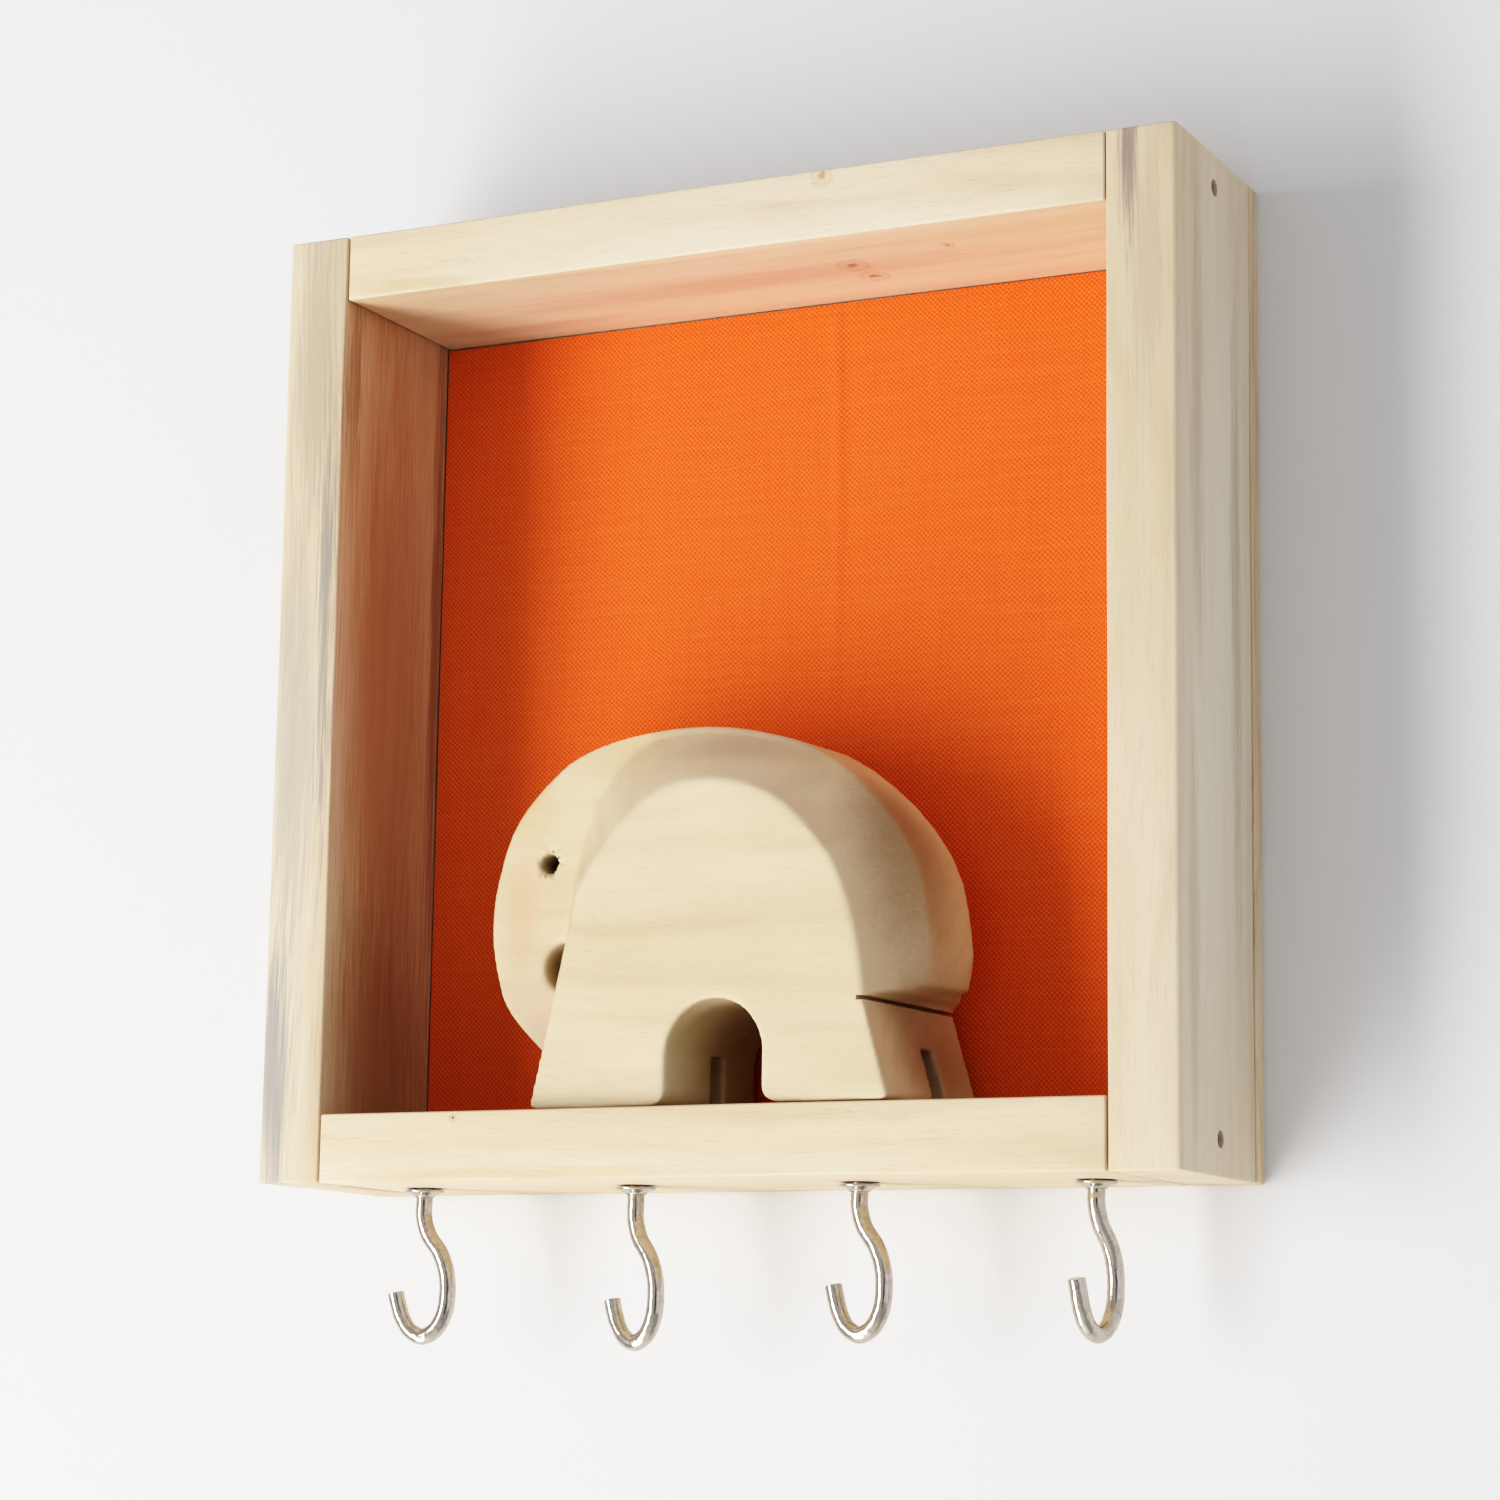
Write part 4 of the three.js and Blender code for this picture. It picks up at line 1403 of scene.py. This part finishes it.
@dataclass
class CupHooks:
    """Four cup hooks, each with its domed collar.

    Attributes:
        places: Where each goes up into the rail.
        turns: How far round each one stopped, in degrees, seen from above.
        drops: How much lower than drawn the bend of each one hangs.
        trims: How much shorter than drawn the tip of each one is.
        wire: Radius of the wire.
        line: The wire's middle from the rail down, sideways and down.
        screw: Length of the screw.
        crest: Radius over the thread.
        root: Radius under the thread.
        pitch: From one thread to the next.
        point: Length of the screw's point.
        root_in: How far inside the wire the thread starts.
        tip_round: Rounding of the wire's sawn end.
        collar: Radius of the collar.
    """

    places: Sequence[Point] = tuple((x, -21.5, -90.0) for x in (-66.9, -22.3, 22.3, 66.9))
    turns: Sequence[float] = (-4.0, 15.0, 9.0, -72.0)
    drops: Sequence[float] = (0.0, 0.9, -0.7, -0.95)
    trims: Sequence[float] = (1.1, 1.4, 0.45, -0.2)
    wire: float = 1.55
    line: Sequence[Point] = (
        (0, 0), (0, 2.6), (0, 5.2), (1.1, 8.6), (3.6, 12), (5, 15.7), (5.3, 19.3), (4.8, 22.9),
        (3, 26), (0.2, 27.3), (-2.4, 26), (-4, 23.3), (-4.8, 20.6), (-5.4, 18.2),
    )
    screw: float = 10.4
    crest: float = 1.35
    root: float = 1.02
    pitch: float = 1.25
    point: float = 3.2
    root_in: float = 1.2
    tip_round: float = 0.42
    collar: float = 3.65

    def path(self, steps: int = 7) -> list[Vector]:
        """Rounds the wire's line into a smooth path in the plane y = 0.

        Args:
            steps: Points to each stretch of the line.

        Returns:
            The path, in metres.
        """
        ends = [Vector((a, 0, -b)) for a, b in self.line]
        ends = [2 * ends[0] - ends[1], *ends, 2 * ends[-1] - ends[-2]]
        path = []
        for p in zip(ends, ends[1:], ends[2:], ends[3:]):
            knots = [0.0]
            for a, b in zip(p, p[1:]):
                knots.append(knots[-1] + (b - a).length ** 0.5)
            for i in range(steps):
                path.append(self.between(p, knots, knots[1] + (knots[2] - knots[1]) * i / steps))
        return [v * MM for v in [*path, ends[-2]]]

    @staticmethod
    def between(p: Sequence[Vector], knots: Sequence[float], t: float) -> Vector:
        """Gives a point of the smooth curve through four points.

        Args:
            p: The four points.
            knots: Where on the curve each lies.
            t: Where on the curve to look.

        Returns:
            The point.
        """
        level = list(p)
        for span in (1, 2, 3):
            for i in range(4 - span):
                start, end = (knots[i], knots[i + span]) if span < 3 else (knots[1], knots[2])
                share = (t - start) / (end - start)
                level[i] = level[i] * (1 - share) + level[i + 1] * share
            if span == 2:
                start, end = knots[1], knots[2]
                share = (t - start) / (end - start)
                return level[0] * (1 - share) + level[1] * share
        return level[0]

    def bend_wire(self) -> bpy.types.Object:
        """Bends the wire, and rounds the sawn end over."""
        Bench.clear()
        bpy.ops.curve.primitive_bezier_curve_add()
        curve = bpy.context.object
        curve.data.splines.clear()
        spline = curve.data.splines.new("POLY")
        path = self.path()
        spline.points.add(len(path) - 1)
        for point, at in zip(spline.points, path):
            point.co = (*at, 1)
        curve.data.bevel_depth = self.wire * MM
        curve.data.bevel_resolution = 10
        curve.data.use_fill_caps = True
        curve.data.twist_mode = "MINIMUM"
        bpy.ops.object.convert(target="MESH")
        wire = Bench.clean(Bench.settle(Bench.name(bpy.context.object, "hook_wire")))
        tip = path[-1] / MM
        near = 1.4 * self.wire
        return Bench.soften(wire, self.tip_round, lambda m: (m - tip).length < near, 50, 3)

    def cut_thread(self) -> bpy.types.Object:
        """Cuts the screw's thread: one tooth wound up the shank, drawn in to a point."""
        Bench.clear()
        bpy.ops.mesh.primitive_plane_add(size=1)
        screw = Bench.name(bpy.context.object, "hook_screw")
        p, low, high = self.pitch, self.root, self.crest
        tooth = [(low, 0), (low, 0.3 * p), (high, 0.58 * p), (high, 0.66 * p), (low, p)]
        with Bench.editing(screw):
            bpy.ops.mesh.merge(type="CENTER")
            for (r0, h0), (r1, h1) in zip([(0, 0), *tooth], tooth):
                step = {"value": ((r1 - r0) * MM, 0, (h1 - h0) * MM)}
                bpy.ops.mesh.extrude_region_move(TRANSFORM_OT_translate=step)
            mesh = bmesh.from_edit_mesh(screw.data)
            centre = min(mesh.verts, key=lambda v: v.co.length)
            mesh.verts.remove(centre)
            bmesh.update_edit_mesh(screw.data)
        turns = math.ceil((self.screw + 1.5) / p)
        Bench.modify(screw, "SCREW", angle=2 * math.pi, screw_offset=p * MM, iterations=turns,
                     steps=28, render_steps=28, use_merge_vertices=True, merge_threshold=1e-6)
        Bench.move(screw, self.draw_in)
        with Bench.editing(screw):
            bpy.ops.mesh.remove_doubles(threshold=0.02 * MM)
            bpy.ops.mesh.fill_holes(sides=0)
            bpy.ops.mesh.normals_make_consistent(inside=False)
        return screw

    def draw_in(self, points: np.ndarray) -> np.ndarray:
        """Sinks the thread's start into the wire and draws its end in to a point."""
        x, y, z = points.T
        z = np.minimum(z - self.root_in, self.screw)
        thin = np.clip((self.screw - z) / self.point, 0.0, 1.0)
        return np.stack([x * thin, y * thin, z], 1)

    def build(self) -> None:
        """Builds one hook and one collar, and copies them to their places."""
        finish = Metal(
            "bright_nickel", srgb(204, 197, 187), srgb(150, 132, 112), rough=0.14, wear=0.6,
            grit=0.7, relief=0.001, lumps=0.1,
        ).build()
        wire, screw = self.bend_wire(), self.cut_thread()
        Bench.modify(wire, "BOOLEAN", operation="UNION", solver="EXACT", object=screw)
        bpy.data.meshes.remove(screw.data)
        ring = self.spin_collar()
        each = zip(self.places, self.turns, self.drops, self.trims)
        for number, (place, turn, drop, trim) in enumerate(each, 1):
            piece = Bench.copy(wire, f"screw_hook_{number}")
            Bench.move(piece, self.bent(drop, trim))
            spot = Matrix.Translation(Vector(place) * MM)
            piece.matrix_world = spot @ Matrix.Rotation(math.radians(-turn), 4, "Z")
            Bench.smooth(Bench.settle(piece), 40)
            Bench.deliver(piece, f"hook_{number}", [f"cup_hook_{number}"], "nickel", finish)
            cap = Bench.copy(ring, f"domed_collar_{number}")
            cap.matrix_world = spot
            Bench.smooth(Bench.settle(cap), 50)
            Bench.deliver(cap, f"hook_screw_{number}", [f"hook_collar_{number}"], "nickel", finish)
        for made in (wire, ring):
            bpy.data.meshes.remove(made.data)

    @staticmethod
    def bent(drop: float, trim: float) -> Shift:
        """Gives what makes one hook differ from the drawn one.

        Args:
            drop: How much lower its bend hangs.
            trim: How much shorter its tip is.

        Returns:
            What gives the moved points.
        """

        def shift(points: np.ndarray) -> np.ndarray:
            """Lengthens the neck and shortens the tip."""
            x, y, z = points.T
            neck = np.clip((-z - 1.5) / 3.5, 0, 1)
            tip = np.clip((z + 25.5) / 6, 0, 1) * (x < -1) * (z < -10)
            return np.stack([x, y, z - drop * neck - trim * tip], 1)

        return shift

    def spin_collar(self) -> bpy.types.Object:
        """Turns the domed collar, hollow underneath like the pressed one."""
        r, bore, top = self.collar, self.wire + 0.12, -0.3
        profile = [
            (bore, top - 0.9), (bore, top - 1.25), (bore + 0.12, top - 1.3), (1.95, top - 1.28),
            (2.1, top - 1.0), (2.7, top - 0.78), (3.2, top - 0.6), (r - 0.08, top - 0.4),
            (r, top - 0.2), (r - 0.04, top - 0.05), (r - 0.15, top), (r - 0.4, top),
            (r - 0.5, top - 0.08), (3.0, top - 0.35), (2.3, top - 0.7), (bore, top - 0.9),
        ]
        return Bench.turned("collar", profile, 56)


# ---------------------------------------------------------------- the hanger


@dataclass
class Hanger:
    """The saw-tooth plate on the back and its two tacks.

    Attributes:
        length: Length of the plate.
        height: Height of the plate.
        top: Height of its upper edge.
        floor: Where the pocket's floor lies, in y.
        margin: Room round the plate in the pocket.
        below: Room under the plate for the wall nail.
        nail_out: Distance of the tacks from the middle.
        thickness: Thickness of the plate.
        gap: Room between two pieces that touch.
    """

    length: float = 45.0
    height: float = 9.0
    top: float = 88.2
    floor: float = -2.6
    margin: float = 1.5
    below: float = 6.0
    nail_out: float = 19.25
    thickness: float = 0.8
    gap: float = 0.3

    def pocket(self) -> tuple[Point, Point]:
        """Gives the lowest and highest corner of the pocket."""
        half = self.length / 2 + self.margin
        low = (-half, self.floor, self.top - self.height - self.below)
        return low, (half, 1.0, self.top + self.margin)

    def nails(self) -> list[Nail]:
        """Gives the plate's two tacks."""
        size = {"radius": 0.8, "head": 1.6, "head_depth": 0.7, "sink": 0.0, "length": 9.6}
        plate = 2 * self.gap + self.thickness
        y, z = self.floor + plate + size["head_depth"], self.top - self.height / 2
        return [
            Nail(f"hanger_tack_{hand}", f"hanger_nail_{hand}", (out, y, z), (0, -1, 0), **size)
            for hand, out in (("left", -self.nail_out), ("right", self.nail_out))
        ]

    def build(self) -> None:
        """Builds the plate with its stamped edges rounded, and drives its tacks."""
        plate = Bench.solid_of("hanger_plate", "sawtooth_hanger")
        Bench.soften(plate, 0.09, sharp=30, segments=2)
        Bench.smooth(Bench.clean(plate), 40)
        brassed = Metal(
            "hanger_metal", srgb(196, 172, 118), srgb(120, 98, 66), rough=0.3, wear=0.6, grit=0.6,
            relief=0.02,
        )
        Bench.deliver(plate, BODY_FRAME, ["hanger_plate"], "hanger_metal", brassed.build())
        steel = Metal(
            "tack_steel", srgb(150, 144, 136), srgb(96, 80, 66), rough=0.4, wear=0.7, grit=0.4,
            relief=0.02,
        )
        Nail.drive(self.nails(), steel.build())


# ---------------------------------------------------------------- the studio


@dataclass
class Studio:
    """The wall, the floor, the light and the camera.

    Attributes:
        azimuth: How far round to the right the camera stands, in degrees.
        elevation: How high it stands, in degrees.
        roll: How far it leans, in degrees.
        distance: How far off it stands, in millimetres.
        target: What it points at, in millimetres.
        lens: Its focal length.
        sensor: Width of its sensor.
        key_from: Direction from the object to the main light.
        key_distance: How far off the main light is, in metres.
        key_size: How wide and how tall the main light is, in metres.
        key_power: Power of the main light, in watts.
        bounce_at: Where the light that comes up off the floor is, in metres.
        bounce_tilt: How far that light is tilted back from straight down, in degrees.
        bounce_size: How wide and tall it is, in metres.
        bounce_power: Its power, in watts.
        room_light: Strength of the light from all round.
        wall_at: Middle of the wall, in metres.
        floor_at: Middle of the floor, in metres.
        opening: Half the width of the opening in the wall behind the object, in millimetres.
        exposure_points: The film's answer to light: light in, brightness out.
    """

    azimuth: float = 26.106
    elevation: float = -9.792
    roll: float = 0.826
    distance: float = 699.16
    target: Point = (-0.543, -21.5, -10.926)
    lens: float = 91.74
    sensor: float = 36.0
    key_from: Point = (-0.79, -1.0, -0.6)
    key_distance: float = 1.3
    key_size: Point = (0.5, 1.7)
    key_power: float = 18.8
    bounce_at: Point = (-0.2, -0.7, -1.1)
    bounce_tilt: float = 148.0
    bounce_size: float = 1.6
    bounce_power: float = 2.8
    room_light: float = 0.59
    wall_at: Point = (0.0, 0.0004, 0.6)
    floor_at: Point = (0.0, 0.0, -1.4)
    opening: float = 89.4
    exposure_points: Sequence[Point] = (
        (0.0, 0.0), (0.02, 0.0035), (0.05, 0.014), (0.1, 0.045), (0.2, 0.147), (0.35, 0.315),
        (0.55, 0.53), (0.8, 0.75), (1.0, 0.87), (1.3, 0.95), (2.0, 1.0),
    )

    def build(self) -> None:
        """Builds the whole studio."""
        self.build_room()
        self.build_lights()
        self.build_camera()
        self.develop()

    def build_room(self) -> None:
        """Builds the floor, and the wall behind the object, open where the object covers it."""
        Bench.clear()
        upright = (math.pi / 2, 0, 0)
        bpy.ops.mesh.primitive_plane_add(size=6, location=self.wall_at, rotation=upright)
        wall = Bench.settle(Bench.name(bpy.context.object, "studio_wall"))
        wall.visible_shadow = False
        Bench.slices(wall, 0, (-self.opening, self.opening))
        Bench.slices(wall, 2, (-self.opening, self.opening))
        with Bench.editing(wall, "DESELECT"):
            bpy.ops.mesh.select_mode(type="FACE")
            mesh = bmesh.from_edit_mesh(wall.data)
            for face in mesh.faces:
                middle = face.calc_center_median() / MM
                face.select = max(abs(middle.x), abs(middle.z)) < self.opening
            bmesh.update_edit_mesh(wall.data)
            bpy.ops.mesh.delete(type="FACE")
        wall.data.materials.append(StagePaint("wall_paint", (0.8, 0.8, 0.81), True).build())
        Bench.clear()
        bpy.ops.mesh.primitive_plane_add(size=8, location=self.floor_at)
        floor = Bench.settle(Bench.name(bpy.context.object, "studio_floor"))
        floor.data.materials.append(StagePaint("floor_paint", (0.78, 0.77, 0.75)).build())

    def build_lights(self) -> None:
        """Hangs the main light low on the left, and lights the room evenly."""
        towards = Vector(self.key_from).normalized()
        data = bpy.data.lights.new("key_light", "AREA")
        data.shape = "RECTANGLE"
        data.size, data.size_y = self.key_size
        data.energy = self.key_power
        data.color = (1.0, 0.995, 0.985)
        key = bpy.data.objects.new("key_light", data)
        key.location = towards * self.key_distance
        key.rotation_mode = "QUATERNION"
        key.rotation_quaternion = towards.to_track_quat("Z", "Y")
        key.visible_camera = False
        bpy.context.scene.collection.objects.link(key)
        bounce = bpy.data.lights.new("floor_bounce", "AREA")
        bounce.size, bounce.energy = self.bounce_size, self.bounce_power
        bounce.color = (1.0, 0.99, 0.97)
        low = bpy.data.objects.new("floor_bounce", bounce)
        low.location = self.bounce_at
        low.rotation_euler = (math.radians(self.bounce_tilt), 0, 0)
        low.visible_camera = False
        bpy.context.scene.collection.objects.link(low)
        self.light_room()

    def light_room(self) -> None:
        """Lights the room from all round, with the unlit end of the room behind the camera."""
        world = bpy.data.worlds.new("room")
        bpy.context.scene.world = world
        g = Graph(world)
        way = g.node("ShaderNodeTexCoord", output="Generated")
        x, y, z = (g.node("ShaderNodeSeparateXYZ", {}, {0: way}, i) for i in range(3))
        off = ((x - 0.42) ** 2.0 * 6.0 + (y + 0.9) ** 2.0 + (z + 0.02) ** 2.0 * 1.2) ** 0.5
        dark_end = 1.0 - off.ease(0.28, 0.62)
        high = z.ease(0.1, 0.95)
        colour = g.mix(x.ease(-0.3, 0.8), (0.94, 0.94, 0.95), (1.58, 1.62, 1.7))
        colour = g.mix(high * 0.45, colour, (0.62, 0.6, 0.58))
        colour = g.mix(dark_end * 0.93, colour, (0.09, 0.065, 0.05))
        lit = g.node("ShaderNodeBackground", {}, {0: colour, 1: self.room_light})
        g.tree.links.new(lit.socket, g.output.inputs["Surface"])

    def develop(self) -> None:
        """Sets how the scene's light becomes the picture: plain colours on a soft film curve."""
        settings = bpy.context.scene.view_settings
        settings.view_transform = "Standard"
        settings.use_curve_mapping = True
        mapping = settings.curve_mapping
        top = self.exposure_points[-1][0]
        mapping.white_level = (top, top, top)
        curve = mapping.curves[3]
        curve.points[0].location, curve.points[-1].location = (0.0, 0.0), (1.0, 1.0)
        for light, shown in self.exposure_points[1:-1]:
            curve.points.new(light / top, shown)
        mapping.update()

    def build_camera(self) -> None:
        """Places the camera."""
        angles = (self.azimuth, self.elevation, self.roll)
        azimuth, elevation, roll = (math.radians(angle) for angle in angles)
        back = Vector((
            math.sin(azimuth) * math.cos(elevation),
            -math.cos(azimuth) * math.cos(elevation),
            math.sin(elevation),
        ))
        right = Vector((0, 0, 1)).cross(back).normalized()
        up = back.cross(right)
        leant = right * math.cos(roll) + up * math.sin(roll)
        upright = up * math.cos(roll) - right * math.sin(roll)
        data = bpy.data.cameras.new("camera")
        data.lens, data.sensor_width = self.lens, self.sensor
        camera = bpy.data.objects.new("camera", data)
        turn = Matrix((leant, upright, back)).transposed().to_4x4()
        spot = (Vector(self.target) + back * self.distance) * MM
        camera.matrix_world = Matrix.Translation(spot) @ turn
        bpy.context.scene.collection.objects.link(camera)
        bpy.context.scene.camera = camera


def main() -> None:
    """Builds the studio, then the object from its boards inwards."""
    logging.basicConfig(level=logging.INFO, format="%(message)s")
    Studio().build()
    hooks, hanger, box = CupHooks(), Hanger(), ShadowBox()
    box.build_sides()
    box.build_rails(hooks.places)
    box.build_back(hanger.pocket())
    box.build_nails()
    CanvasGround().build()
    CarvedElephant().build()
    hooks.build()
    hanger.build()
    Bench.clear()


if __name__ == "__main__":
    main()
